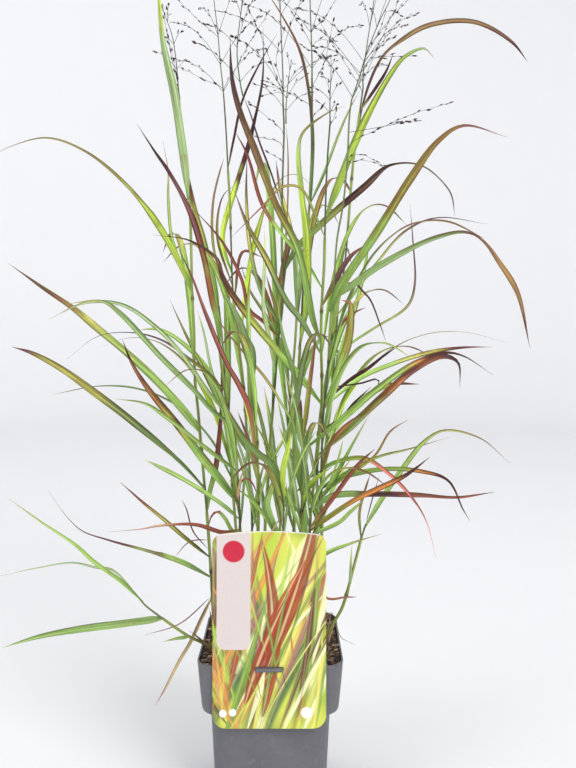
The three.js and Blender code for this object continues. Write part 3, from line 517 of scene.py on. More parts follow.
# The print's strokes, far to near: how many, their inks, the least and greatest half width and
# softness, and whether they are striped.
STROKES = (
    (34, ((0.42, 0.26, 0.17), (0.68, 0.76, 0.3), (0.88, 0.85, 0.42), (0.27, 0.4, 0.24),
          (0.78, 0.52, 0.26), (0.92, 0.92, 0.68)), (2, 6), (2.5, 5), 0),
    (64, ((0.62, 0.76, 0.27), (0.87, 0.84, 0.38), (0.36, 0.17, 0.15), (0.46, 0.6, 0.22),
          (0.82, 0.54, 0.24), (0.93, 0.92, 0.72), (0.64, 0.27, 0.17), (0.6, 0.4, 0.38)),
     (0.6, 2.2), (0.5, 1.8), 0),
    (5, ((0.68, 0.26, 0.12), (0.46, 0.17, 0.12), (0.6, 0.22, 0.12)), (3.2, 4.6), (0.5, 0.9), 1),
    (14, ((0.7, 0.8, 0.24), (0.86, 0.86, 0.46), (0.42, 0.56, 0.18), (0.3, 0.15, 0.12)),
     (0.5, 1.6), (0.4, 1.2), 0),
)


def card_half_width(z):
    """Half the card's width at a height: full between the rounded feet and shoulders."""
    low = within((CARD_LOW + CARD_FOOT_RADIUS - z) / CARD_FOOT_RADIUS)
    high = within((z - CARD_HIGH + CARD_ARCH + CARD_HEAD_RADIUS) / CARD_HEAD_RADIUS)
    return (CARD_HALF - CARD_FOOT_RADIUS * (1 - np.sqrt(1 - low ** 2))
            - CARD_HEAD_RADIUS * (1 - np.sqrt(1 - high ** 2)))


def over(colour, paint, cover):
    """Paint laid over a colour with a cover between 0 and 1."""
    cover = np.asarray(cover)[..., None]
    return colour * (1 - cover) + np.asarray(paint) * cover


def card_print(x, z):
    """Ink at a point: a lime ground with blurred far blades, then near blades as strokes along
    bent lines and a few broad red ones, then the panel, the spots, dark lines of painted shade in
    the cuts of the flaps under the slot, and a pale line along the top."""
    flat = np.column_stack([x, z * 0.4, np.zeros_like(x)])
    glow = 0.5 + 0.5 * value_noise(flat, 15, 21)
    shade = 0.5 + 0.5 * value_noise(flat, 24, 22)
    colour = over(np.tile(srgb(0.66, 0.77, 0.22), (len(x), 1)), srgb(0.84, 0.83, 0.38), glow)
    colour = over(colour, srgb(0.3, 0.4, 0.2), np.clip((shade - 0.55) * 3, 0, 0.8))
    ink_draw = np.random.default_rng(9)
    for count, inks, halves, softness, striped in STROKES:
        for stroke in range(count):
            root, low = ink_draw.uniform(-52, 36), ink_draw.uniform(52, 130)
            slope = abs(ink_draw.normal(0.32, 0.18)) * (-1 if ink_draw.uniform() < 0.25 else 1)
            bend, reach = ink_draw.normal(0, 0.0012), ink_draw.uniform(60, 165)
            rise = z - low
            off = (x - root - slope * rise - bend * rise ** 2) / math.hypot(1, slope)
            swell = 0.25 + np.sin(math.pi * within(rise / reach) ** 0.8)
            half, soft = ink_draw.uniform(*halves) * swell, ink_draw.uniform(*softness)
            ink = srgb(*inks[ink_draw.integers(len(inks))])
            grain = value_noise(np.column_stack([off, z * 0.05, np.full_like(x, stroke)]), 0.7, 31)
            edge = within(np.abs(off) / half) ** 3
            light = 1 + (0.25 + 0.2 * striped) * grain - (0.25 + 0.3 * striped) * edge
            cover = (rise > 0) * (rise < reach) * within((half - np.abs(off)) / soft) * 0.9
            colour = over(colour, ink * light[:, None], cover)
            shine = within((0.16 * half - np.abs(off + 0.2 * half)) / 0.5 + 0.5)
            colour = over(colour, srgb(0.84, 0.8, 0.6), cover * shine * (0.3 + 0.4 * striped))
    # The panel is a rectangle with rounded lower corners: the distance outside its edge.
    half = (PANEL_RIGHT - PANEL_LEFT) / 2
    beside = np.abs(x - (PANEL_LEFT + PANEL_RIGHT) / 2) - half + PANEL_CORNER
    under = PANEL_FOOT + PANEL_CORNER - z
    outside = (np.hypot(np.maximum(beside, 0), np.maximum(under, 0))
               + np.minimum(np.maximum(beside, under), 0) - PANEL_CORNER)
    colour = over(colour, srgb(0.8, 0.755, 0.745), within(0.5 - outside / 0.4))
    for (spot_x, spot_z), radius, ink in SPOTS:
        colour = over(colour, srgb(*ink), within((radius - np.hypot(x - spot_x, z - spot_z)) / 0.5))
    # Painted shade: dark lines where the flaps are cut under the slot, as the slits would shade.
    down = SLOT_LOW - z
    for top, lean, drop in ((-10.2, 0.2, 20), (9.8, 0.25, 12)):
        line = within((0.5 - np.abs(x - top - lean * down)) / 0.35)
        colour = over(colour, srgb(0.24, 0.22, 0.1), line * ((down > 0) & (down < drop)) * 0.8)
    rim = CARD_HIGH - CARD_ARCH * (x / CARD_HALF) ** 2 - 0.5 - z
    return over(colour, srgb(0.9, 0.9, 0.85), within(0.5 - rim / 0.4))


def card_lines(marks, low, high):
    """Even lines from low to high with steps of about CARD_STEP, that pass through the marks."""
    stops = [low, *marks, high]
    runs = [np.linspace(a, b, max(2, round((b - a) / CARD_STEP)), endpoint=False)
            for a, b in zip(stops, stops[1:])]
    return np.append(np.concatenate(runs), high)


def card_surface():
    """The face as a grid: rows up the card, columns across it, drawn in at the round corners
    and raised to the arched top, with the slot's cells left out. The film curls very slightly."""
    across = card_lines([-SLOT_HALF, SLOT_HALF], -CARD_HALF, CARD_HALF)
    up = card_lines([SLOT_LOW, SLOT_HIGH], CARD_LOW, CARD_HIGH - CARD_ARCH)
    x, z = np.meshgrid(across, up)
    x = x * card_half_width(z) / CARD_HALF
    arch = CARD_ARCH * (1 - (x / CARD_HALF) ** 2)
    z = z + within((z - CARD_ARCH_FROM) / (CARD_HIGH - CARD_ARCH - CARD_ARCH_FROM)) * arch
    curl = CARD_CURL * within((z - CARD_CURL_FROM) / CARD_CURL_SPAN) ** 2
    y = CARD_BACK - 0.1 - curl * (x / CARD_HALF) ** 2
    points = np.stack([x + CARD_X, y, z], -1).reshape(-1, 3)
    quads = grid_quads(len(up), len(across))
    middle_x, _, middle_z = (points[quads].mean(1) - [CARD_X, 0, 0]).T
    in_slot = (np.abs(middle_x) < SLOT_HALF) & (middle_z > SLOT_LOW) & (middle_z < SLOT_HIGH)
    return points, quads[~in_slot], None, card_print(x.ravel(), z.ravel())


def card_ink():
    """Glossy printed film: the print's tone, a faint screen of dots, a clear hard coat."""
    film = Finish("card_print", 0.36, 0.35)
    film.shader["Coat Weight"].default_value = 0.12
    film.shader["Coat Roughness"].default_value = 0.18
    screen = film.span(film.noise(1500.0, 1.0), 0.93, 1.07)
    return film.done(film.mix(1.0, film.tone(), screen, "MULTIPLY"),
                     film.bump(film.noise(30.0, 1.0), 0.2, 0.001))


def card_back_film():
    """The unprinted white back and cut edge of the film, with a faint cloudiness."""
    film = Finish("card_film", 0.5, 0.4)
    cloud = film.ramp(film.noise(60.0, 2.0), srgb(0.84, 0.84, 0.82), srgb(0.92, 0.92, 0.9))
    return film.done(cloud)


card = new_mesh("hang_card", *card_surface())
card.data.materials.append(card_ink())
card.data.materials.append(card_back_film())
film = card.modifiers.new("film", "SOLIDIFY")
film.thickness = CARD_THICK * MM
film.offset = 1
film.material_offset = 1
film.material_offset_rim = 1
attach(card, "root")
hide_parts("hang_card")

# ---------------------------------------------------------------- leafy stems
# Each stem is a jointed hollow culm in sheaths: a blade starts where its sheath ends, folded in
# a keel that opens along it, and tapers to a thread. The blades turn from green to rust,
# maroon and straw at their edges and tips as the plant ages.

STEM_SET_DEPTH = 22
SOIL_EDGE = 113.5
BLADE_COLLAR_SHARE = 0.5
BLADE_OPEN_AT = 0.18
BLADE_TAPER_FROM = 0.3
BLADE_TAPER_POWER = 1.7
BLADE_TURN = 25
BLADE_TIP_TURN = 30
ARCH_TWIST = 40
BLADE_MID_THICKNESS = 0.34
BLADE_EDGE_THICKNESS = 0.1
BLADE_STEP = 4
SECTION = np.array([-1, -0.84, -0.45, 0, 0.45, 0.84, 1])
CELL = 2.6
TRAIL_STEP = 2.6
LEAN_STEP = 7
LEAN_TRIES = 17
BOWS = (0, 7, -7, 14, -14)
SHEET_SCALE = 0.8178
SHEET_MIDDLE = (288, 319)

# The plant, stem by stem, on a drawing sheet that stands through the middle of the clump. Each
# row starts with its kind, and a course is pairs of u, to the right, and v, down.
# stem: foot x and y, depth at the first and last point of its course, radius, course.
# blade, scrap: v where it leaves the stem, depth at its tip, full width, colouring, course.
# arch, a blade off the sheet: v, heading, reach, rise, width, colouring.
# head: the blade it rises from, or -1 for the stem's top, depth at its end, branch length,
# bare share of its axis, course. branch: the course of a long branch of that head.
PLANT = """
stem -44.5 -8 -8 -18 1.4 212 596 210 556 207 515 204 480 201 445 198 410 195 380 194 340 192 290 191
  240 189 190 187 168
blade 200 -60 8 pale 187 172 182 135 175 90 168 60 163 35 160 0 157 -32
blade 295 -95 5.8 lime_olive 178 262 151 216 124 183 86 152 48 138 12 146 -15 160
blade 285 20 3.3 fresh_dark 180 262 171 235 168 197 168 172 163 141
blade 434 60 5.8 turning 189 419 163 389 130 357 92 325 73 309 38 285 8 263
blade 490 -110 5.8 gold 184 468 153 440 126 417 96 394 61 369 31 353 12 347
blade 558 -60 4.4 rust_tip 187 540 165 521 142 502 120 482
blade 578 5 4.2 thread 184 564 153 553 107 540 82 531 67 517 48 490
blade 604 -50 3.6 straw 202 616 190 642 180 659 165 688 155 706
blade 515 -4 3 dry_top 211 490 216 470 219 445 222 400 221 352
arch 380 108 160 135 6.5 turning
scrap 551 -22 1.6 brick 193 532 186 509 182 500
scrap 540 -14 1.4 brick 190 542 174 558
scrap 596 -40 1.4 brick 180 624 145 635
head -1 10 24 0.4 184 140 179 95 176 60 172 35 163 10 156 -14
branch 180 98 177 80 171 55 166 28 163 6
branch 179 92 174 62 168 36
stem -30 -31 -31 -44 1.5 240 530 238 490 236 455 234 430 229 415 224 385 219 345
blade 350 -78 5.2 turning_dark 216 319 212 304 202 254 189 212 168 172 153 150 137 124
blade 418 -105 5 edge_green 210 395 182 355 155 327 122 305 86 303 49 319
blade 425 -135 5 blue 213 412 195 392 160 357 120 314 103 302 65 304
blade 392 -70 3.2 dark 207 373 190 360 163 341 134 333 99 336 67 359
blade 472 -150 4.4 fresh 222 461 205 448 165 417 145 404 115 399
blade 505 -115 6.6 deep_rust 222 484 201 458 176 425 147 389 130 361 122 339
blade 520 -155 4.2 fresh 222 505 187 482 159 467 145 460
blade 548 -130 3.6 brick_thread 224 533 195 525 159 526 142 529 109 532
blade 556 -58 4 half_brown 233 532 224 518 217 512 211 518 209 527
blade 405 -40 2.6 pale 218 390 211 370 203 330 197 310
arch 480 248 110 95 5.5 fresh_dark
scrap 512 -40 5.6 tan 239 497 241 484 243 471
scrap 488 -48 2.6 brick 246 479 252 484 257 494
stem -21 17 17 38 1.3 252 530 250 480 246 420 243 380 238 340 233 293 231 240 230 205 228 170 226
  130 224 100
blade 275 62 5 maroon_top 223 250 222 232 237 180 247 148 254 120 262 80 263 25
blade 170 75 2.6 maroon 234 140 243 100 263 58 277 34
blade 286 48 2.8 dark 218 238 220 205 226 192 246 180
blade 300 28 2.8 olive 216 260 212 235 213 200 220 170 224 158
blade 300 12 2.8 brick 243 251 262 257
blade 452 130 5.6 fresh_dark 228 418 205 372 184 330 170 300
arch 400 120 190 150 7 turning
arch 350 62 160 175 6 lime_olive
head -1 60 68 0.05 223 88 220 60 218 35 214 0 209 -50 204 -105
branch 218 37 203 24 189 11 178 0
branch 223 88 205 80 184 69
branch 224 88 238 64 250 42 268 13
stem -14 -39 -39 -50 1.5 258 530 258 480 257 440 254 400 252 368
blade 470 -66 6.4 fresh 256 440 252 400 250 350 249 300 252 264
blade 480 -92 4.6 brick 250 408 240 385 227 362 207 315 191 273 178 248
blade 380 -70 5.4 blue 243 345 238 325 230 305 222 292
blade 385 -84 5 blue 252 350 247 340 240 320 232 303
arch 430 262 120 80 6 turning
scrap 470 -78 5.2 bark 254 452 247 432 238 412
scrap 505 -70 3.4 fresh 266 480 280 452
stem -5 3 3 10 1.4 265 530 268 480 271 430 275 385 278 345 283 300 282 250 282 205 283 165 284 130
  283 102
blade 206 -22 1.7 maroon 271 172 259 140 250 112 243 96
blade 325 -14 3.6 gold 262 295 250 250 246 195 247 155
blade 338 -32 3.6 brick 263 322 249 310 241 279 222 242 191 206
blade 376 -18 4.2 pale 268 335 263 310 264 260 264 225
blade 332 14 3.4 olive 277 315 270 290 266 275
blade 276 -62 5.6 purple 296 250 326 220 366 186 391 166 421 166 449 191 455 216
blade 466 -6 2.6 fresh 285 437 293 410
blade 292 22 1.7 olive 286 240 288 200 288 150 286 124
arch 410 80 170 160 6.5 turning_dark
arch 360 100 140 190 6 fresh
head -1 26 62 0.05 283 80 281 30 280 0 277 -60 275 -125
branch 283 93 263 95
branch 282 130 266 116 250 103
branch 280 142 262 138 252 134
branch 283 162 276 157 268 152
branch 283 97 270 60 262 38 250 12
branch 283 90 276 60 284 30
head 0 -30 44 0.12 240 82 237 50 240 20 244 -6 249 -30
head 7 30 34 0.2 286 108 288 84 291 62
stem 15 -11 -11 -4 1.5 294 530 294 480 294 440 297 400 299 365 301 330 303 290 309 210 311 170 312
  130 312 78
blade 350 -34 5.2 lime_slim 308 300 308 240 302 190 299 150 303 133 328 113 345 106
blade 213 -22 3.4 black_brick 310 190 312 140 308 90 299 50 280 13 262 -14
blade 205 34 3.3 fresh_dark 324 172 338 135 350 108 360 90
blade 402 -44 5 blue 292 370 283 340 277 300
arch 330 75 150 160 6 rust
arch 450 285 100 100 5 gold
scrap 495 -22 2.4 maroon 309 480 318 470
scrap 520 -30 4 fresh 286 495 276 470 262 440
head -1 -14 66 0.04 312 60 310 0 309 -60 309 -115 310 -160
branch 311 106 300 99 287 92 266 85
branch 308 38 301 26 293 14
branch 311 33 325 17 335 0
branch 317 78 325 60 333 22
branch 318 40 335 41
branch 311 120 317 112 323 105
stem 31 17 17 56 1.4 310 530 314 480 318 440 321 410 326 380 330 350 335 320 344 270 347 240 350 200
  353 165 356 140 360 110 363 88
blade 410 62 5 red_edge 360 379 391 365 429 353 460 348 492 347
blade 362 96 3 brown_arc 352 343 375 328 408 306 415 285 413 239 410 204
blade 318 112 3.4 brown_arc 350 300 378 262 406 231 437 218 487 224
blade 284 30 2.5 maroon 355 284 363 292 370 300 380 325 386 342
blade 334 76 3 brick 344 320 353 313 366 307
blade 168 104 4.2 umber 365 100 383 58 400 42 430 25 475 22 512 42 528 62
blade 112 62 3.2 maroon 380 88 390 72 394 52
arch 430 60 190 130 6.5 turning
arch 380 25 170 150 6 blue_brown
head -1 84 72 0.03 363 75 367 45 374 0 381 -50 387 -105
branch 372 42 386 24 396 12 408 0
branch 365 60 376 48 388 24 398 2
branch 362 92 340 55 320 22
stem 38 -6 -6 -2 1.4 316 530 317 490 318 450 321 420 322 380 321 340 322 300 324 270 325 230 326 190
  328 150 330 124
blade 345 -72 5.4 olive_brown 312 320 297 250 275 205 253 148 238 108 231 75 230 36
blade 356 -98 5.2 gold 300 320 286 302 266 260 247 225 234 190
blade 405 -140 5.8 olive_thread 303 382 275 350 235 300 221 275 217 260 190 241 153 235
blade 238 -44 2.6 olive 316 218 300 188 283 187 262 207 231 238
blade 216 -58 5.8 lime_dark 333 190 358 125 385 75 400 57 422 48 434 58
blade 305 -48 4 mauve 333 283 343 265 352 254 368 243
blade 457 -125 6 red_blotch 352 427 383 398 414 371 442 357 457 362 460 388
blade 474 -145 4.2 pink 333 464 364 459 387 473 410 496 425 519 436 557
blade 492 -96 5 green_thread 337 480 383 470 421 472 448 481 463 510 470 521
blade 502 -50 4.8 fresh 328 490 341 467 352 446 370 414
blade 500 -20 3.4 fresh_dark 345 474 379 457 410 449 450 437
blade 290 -30 4.2 half_brown 305 262 282 235 262 205 247 155 234 130
arch 360 50 130 150 5.5 turning
head -1 2 20 0.15 330 112 330 96 331 74 331 58
branch 330 97 328 84 323 74
branch 329 130 333 120 336 112
stem 32 -29 -29 -44 1.3 322 530 321 480 322 450 323 420 328 370 330 330 334 280 337 240 343 205 347
  165 349 122
blade 312 -88 7.4 sunset 339 292 379 231 410 181 439 141 463 126 507 137
blade 300 -62 5 blue_brown 349 288 379 267 439 238 473 235 500 265 517 292 530 348
blade 410 -66 5.6 orange_edge 332 395 343 363 349 344 352 311 350 302 341 300
blade 402 -74 3.3 maroon 352 379 368 369 383 357 399 346
blade 478 -60 4.6 orange 331 444 341 431 352 421 366 412
blade 430 -92 3.3 maroon 345 417 352 406 371 387
blade 494 -82 2.6 olive 345 478 375 456 391 431 408 420
arch 450 300 110 90 5.5 fresh
scrap 500 -60 3 fresh 333 476 341 452 343 440
scrap 388 -70 2 maroon 360 384 378 380 377 390
head -1 -60 56 0.1 352 98 357 85 366 55 380 20 390 0 402 -38
branch 356 92 370 60 384 57 413 56
branch 366 56 380 30 388 10 400 15
branch 349 158 360 154 372 159
branch 347 165 360 160 383 165
branch 350 144 383 127 410 115 449 103
branch 391 125 403 122 414 121
stem 15 -38 -38 -52 1.4 301 530 302 500 302 470 302 436
blade 440 -74 2.6 olive 282 405 265 378 247 357 225 330 215 315
blade 442 -54 5 rust 308 390 312 360 316 330
blade 450 -62 6.4 dry_tip 298 420 301 399
blade 515 -72 5.8 lime 308 490 316 480 333 466
blade 452 -150 5 green_thread 339 423 381 387 418 362 445 353 463 356 493 375
arch 500 280 90 70 5 gold
scrap 520 -70 3.6 fresh 290 500 272 478 262 458
scrap 500 -66 3 fresh_dark 314 470 327 445
stem 24 -42 -42 -48 1.3 308 575 309 540 310 508
blade 530 -84 4 brick 324 511 349 477 360 463 375 449
blade 532 -112 4.6 orange_dark 330 517 356 500 398 480 410 473 430 457
blade 512 -66 4 dark_red 333 497 372 495 419 496 458 498 495 492
blade 536 -118 4.2 fresh 339 523 352 511 364 500
blade 566 -58 3.8 fresh_dark 330 552 345 546 362 540 382 534
arch 520 296 110 60 5 turning
scrap 575 -58 3 bark 327 599 345 598 357 597
scrap 556 -70 4 fresh 298 520 290 500 286 482
scrap 550 -60 3.4 deep 318 526 328 508 334 496
stem 42 -22 -22 -34 1.4 331 628 342 608 352 574 358 551 362 536 366 524
blade 530 -86 5.2 fresh_dark 379 505 402 471 425 442 444 431 479 438 510 463
blade 588 -40 2.8 pale 350 584 351 567 352 546
blade 540 -24 2.6 olive 359 513 366 486 370 475
scrap 620 -30 1 dark 341 638 347 641 355 645
scrap 506 -60 1.4 maroon 373 498 379 477
stem -40 -26 -27 -34 1.3 203 643 190 637 162 618 145 605 139 598
blade 602 -66 4.2 fresh 122 583 92 561 76 546 42 523 9 499
blade 603 -12 2.8 edge_green 112 570 97 568 73 563 38 568 0 576
blade 619 -70 7.2 bright 150 621 120 625 80 630 40 637 2 648
blade 637 -46 3.8 fresh 184 638 176 639 163 642
stem -25 37 37 66 1.4 236 530 232 480 229 440 226 400 223 350 219 306
blade 320 104 5.2 turning 214 280 204 240 193 200 186 160
blade 410 128 5.6 fresh 214 380 190 350 160 330 138 330
arch 470 140 190 120 7 lime_olive
arch 430 95 200 140 7 turning
arch 480 172 165 85 6 blue
stem 5 41 41 78 1.4 280 530 284 480 288 430 292 380 296 330 298 290
blade 310 116 5.4 gold 296 260 290 225 281 190 276 160
blade 400 112 5.2 fresh_dark 284 350 268 318 250 290 240 262
arch 480 70 200 130 7 fresh
arch 430 110 210 160 7 turning_dark
arch 340 86 160 150 6 gold
stem 32 39 39 70 1.4 318 530 322 480 327 435 333 390 338 350
blade 370 112 5.4 fresh 346 336 358 300 366 262 370 232
blade 440 118 5 turning 342 418 366 396 392 384 420 384
arch 480 50 190 120 7 turning
arch 450 15 180 110 6.5 lime_olive
arch 400 80 190 155 7 fresh_dark
stem 1 -44 -44 -58 1.3 280 560 283 530 284 505
blade 512 -96 5.6 deep 270 465 258 455 245 442 232 420 222 398
blade 545 -66 5.4 deep 266 505 270 490 278 470
blade 508 -62 6 lime 284 470 289 448 291 432
arch 525 250 100 60 5.5 olive
scrap 530 -66 3 brick 277 492 275 486 284 508
scrap 556 -60 3 straw 272 536 282 515
scrap 550 -70 4.6 fresh 266 520 250 500 236 488"""
INK = {name: srgb(*look) for name, look in {
    "lime": (0.6, 0.7, 0.16), "pale": (0.5, 0.59, 0.37), "fresh": (0.46, 0.58, 0.24),
    "mid": (0.4, 0.52, 0.23), "blue": (0.41, 0.51, 0.28), "deep": (0.28, 0.38, 0.16),
    "olive": (0.47, 0.46, 0.15), "gold": (0.6, 0.6, 0.25), "grass": (0.46, 0.58, 0.27),
    "orange": (0.69, 0.42, 0.17), "rust": (0.47, 0.3, 0.15), "umber": (0.34, 0.24, 0.14),
    "amber": (0.43, 0.34, 0.16), "brick": (0.43, 0.22, 0.16), "maroon": (0.24, 0.1, 0.1),
    "mauve": (0.38, 0.25, 0.25), "pink": (0.66, 0.36, 0.31), "straw": (0.62, 0.56, 0.38),
    "tan": (0.57, 0.47, 0.32), "black": (0.12, 0.075, 0.075),
}.items()}
# The colourings, each on a line that may go on indented: how much fuller or thinner than its
# row the blade is; how late it narrows, where a high power keeps it full nearly to its tip; the
# ink its edges turn to; and the inks at shares of its length, from collar to tip.
COLOURINGS = """
lime 1 2.6 none 0 mid .15 lime .8 lime 1 olive
lime_olive 1.15 0.44 umber 0 fresh .12 lime .26 lime .42 olive .75 olive .9 umber 1 olive
lime_dark 1.4 0.9 deep 0 fresh .3 lime .6 lime .78 grass .9 grass .96 mauve 1 mauve
pale 1.05 2.6 none 0 fresh .2 pale .7 pale .85 lime 1 tan
fresh 0.95 2.6 none 0 mid .4 fresh .8 fresh 1 olive
fresh_dark 1 1.4 umber 0 mid .5 fresh .75 olive 1 maroon
green_thread 1.1 1 umber 0 mid .2 fresh .42 fresh .5 orange .56 maroon .75 black 1 black
turning 1.4 2.6 olive 0 fresh .42 fresh .55 gold .68 olive .76 brick .86 maroon 1 black
turning_dark 1.2 2.6 maroon 0 mid .24 fresh .38 rust .5 brick .64 mauve .75 maroon .88 black 1 black
gold 1.15 2.6 umber 0 mid .15 blue .42 blue .54 gold .72 gold .8 olive .88 mauve 1 maroon
rust 1 2.6 maroon 0 olive .3 olive .55 rust .85 brick 1 maroon
rust_tip 0.85 2.6 maroon 0 deep .3 olive .5 gold .7 rust .88 brick 1 black
deep_rust 1.2 2 maroon 0 deep .3 mid .45 olive .6 amber .72 rust .82 maroon 1 black
red_edge 1.0 2.6 brick 0 fresh .35 fresh .52 gold .64 olive .78 maroon 1 maroon
red_blotch 1.3 1.6 maroon 0 fresh .2 olive .3 rust .45 orange .6 brick .72 mauve .86 maroon 1 black
dark 1.1 0.7 none 0 olive .3 olive .45 mauve .6 black 1 black
maroon 1.05 2.6 none 0 olive .15 maroon 1 black
maroon_top 1.2 2.6 maroon 0 fresh .2 lime .4 lime .5 maroon .65 black 1 black
brick 1.1 2.6 maroon 0 olive .2 brick .7 brick 1 maroon
dry_top 1.7 2.6 maroon 0 fresh .3 fresh .42 olive .52 brick .8 maroon 1 brick
purple 1.15 2.6 maroon 0 deep .2 mid .34 olive .4 maroon .5 umber .58 maroon .7 olive
  .85 umber 1 black
mauve 1.45 2.6 maroon 0 olive .3 mauve 1 brick
pink 1.15 1.2 brick 0 mid .18 fresh .3 olive .42 pink .6 pink .74 brick .85 pink 1 tan
orange 0.95 2.6 brick 0 olive .3 rust .6 orange .8 rust 1 maroon
orange_edge 1.4 2.6 rust 0 mid .3 fresh .46 olive .8 olive .9 rust 1 mauve
sunset 1.12 1.4 rust 0 mid .28 fresh .42 olive .6 amber .78 amber .86 mauve 1 maroon
blue 1 2.6 none 0 mid .3 blue .8 blue 1 olive
blue_brown 1.3 4 rust 0 mid .2 blue .46 blue .53 mauve .58 umber .68 amber .8 amber
  .9 umber .95 maroon 1 black
deep 1.25 2.6 none 0 mid .5 mid 1 olive
olive 1 2.6 rust 0 mid .4 olive .8 umber 1 maroon
dry_tip 1.2 2.6 umber 0 fresh .5 fresh .7 umber 1 black
umber 1.2 4 maroon 0 maroon .18 maroon .3 umber .42 amber .6 amber .76 umber .9 maroon 1 black
black_brick 1.2 2.6 olive 0 deep .25 deep .38 black .6 maroon .8 brick 1 brick
olive_brown 1.3 2.6 umber 0 mid .25 fresh .4 olive .52 amber .62 umber .74 maroon .88 black 1 black
straw 1 2.6 none 0 straw .6 straw 1 mauve
bark 1 2.6 none 0 tan .4 rust 1 mauve
tan 1 2.6 rust 0 mauve .3 tan .8 straw 1 tan
dark_red 1.5 2.6 rust 0 mid .3 mid .38 black .5 maroon .62 brick .86 brick .93 black 1 black
edge_green 0.75 2.6 deep 0 fresh .35 pale .8 pale 1 olive
bright 1 2.6 none 0 fresh .2 grass .8 grass 1 fresh
brown_arc 0.95 2.6 maroon 0 fresh .3 fresh .52 olive .7 umber .85 maroon 1 black
thread 1.4 0.35 umber 0 deep .12 mid .28 fresh .36 maroon .5 maroon 1 black
lime_slim 1.5 0.8 none 0 fresh .2 lime .45 lime .6 pale .8 olive 1 maroon
orange_dark 1.05 2.6 umber 0 olive .3 olive .42 orange .6 orange .72 maroon 1 black
brick_thread 1.15 0.8 none 0 olive .2 brick .42 brick .6 tan 1 mauve
olive_thread 1.35 1.1 umber 0 mid .22 fresh .38 olive .48 umber .6 maroon .7 umber .85 black 1 black
half_brown 1 2.6 none 0 fresh .45 fresh .55 brick 1 maroon
"""
# Blades that turn over on their way, by stem and collar height: their turn at even shares.
TURNS = {("stem_07", 168): (72, 66, 52, 0, 0, -20), ("stem_09", 300): (10, 12, 45, 100, 165, 180),
         ("stem_05", 276): (20, 5, 10, 80, 100, 100), ("stem_01", 490): (74, 62, 20, 15, 25, 30)}
# Blades that hang aside of their course, by stem and collar height: how far, halfway along.
ASIDE = {("stem_08", 216): 3.2, ("stem_07", 112): -4}
# How a blade's tone varies: from end to end, at its rims and under it, and from blade to blade;
# and painted shade across its keel fold, one half painted lighter and the other darker.
TONE_SHIFT = 0.05
# Painted light and shade: one half of each blade lighter, the other darker, as on its fold.
PAINTED_FOLD_SHADE = 0.2
RIM_DARKER = 0.4
UNDERSIDE = 0.9
TONE_LEAST, TONE_SPREAD = 1.07, 0.82
EDGE_INK_FROM, EDGE_INK_SPAN, EDGE_INK_MOST = 0.2, 0.3, 0.85
PATCH_SIZE = 9
GREY_SHARE = 0.06
BRIGHTNESS_WEIGHTS = [0.21, 0.72, 0.07]
# How far the inks stray along a blade: further where its colouring breaks into blotches.
STRAY = 0.08
BLOTCHED = {"red_blotch": 0.22, "deep_rust": 0.14}


def pairs(flat):
    """A flat list of sheet numbers as rows of (u, v)."""
    return np.array(flat, dtype=float).reshape(-1, 2)


def read_plant(table):
    """The table's stems in order, each with its rows by kind. A row goes on to the next word
    that names a kind, so the ends of lines mean nothing."""
    rows, stems = [], []
    for word in table.split():
        if word in ("stem", "blade", "scrap", "arch", "head", "branch"):
            rows.append([word])
        else:
            rows[-1].append(word if word[0].isalpha() else float(word))
    for kind, *row in rows:
        if kind == "stem":
            stems.append({"name": f"stem_{len(stems) + 1:02d}", "foot": row[:2], "depth": row[2:4],
                          "radius": row[4], "course": pairs(row[5:]),
                          "blade": [], "scrap": [], "arch": [], "head": []})
        elif kind == "branch":
            stems[-1]["head"][-1][-1].append(pairs(row))
        elif kind == "arch":
            stems[-1]["arch"].append(row)
        else:
            long_branches = [[]] if kind == "head" else []
            stems[-1][kind].append([*row[:4], pairs(row[4:]), *long_branches])
    return stems


def read_colourings(table):
    """The table's colourings by name: fullness, narrowing, edge ink, stops and their inks."""
    colourings = {}
    for line in table.replace("\n  ", " ").strip().splitlines():
        name, fullness, narrowing, edge, *stops = line.split()
        colourings[name] = (float(fullness), float(narrowing), INK.get(edge),
                            np.array(stops[::2], dtype=float),
                            np.array([INK[ink] for ink in stops[1::2]]))
    return colourings


STEMS = read_plant(PLANT)
FINISHES = read_colourings(COLOURINGS)


def draw(number):
    """A fixed draw from 0 to 1 for a number: the fraction of a stretched sine."""
    value = math.sin(number * 12.9898) * 43758.5453
    return value - math.floor(value)


def unit(vectors):
    """Vectors of length 1, along the given ones."""
    return vectors / np.linalg.norm(vectors, axis=-1, keepdims=True)


def on_sight_line(u, v, depth):
    """The point at a depth on the eye's line through the sheet's (u, v)."""
    flat = np.array([EYE[0] + (u - SHEET_MIDDLE[0]) * SHEET_SCALE, 0,
                     EYE[2] - (v - SHEET_MIDDLE[1]) * SHEET_SCALE])
    return EYE + (flat - EYE) * (1 - depth / EYE[1])


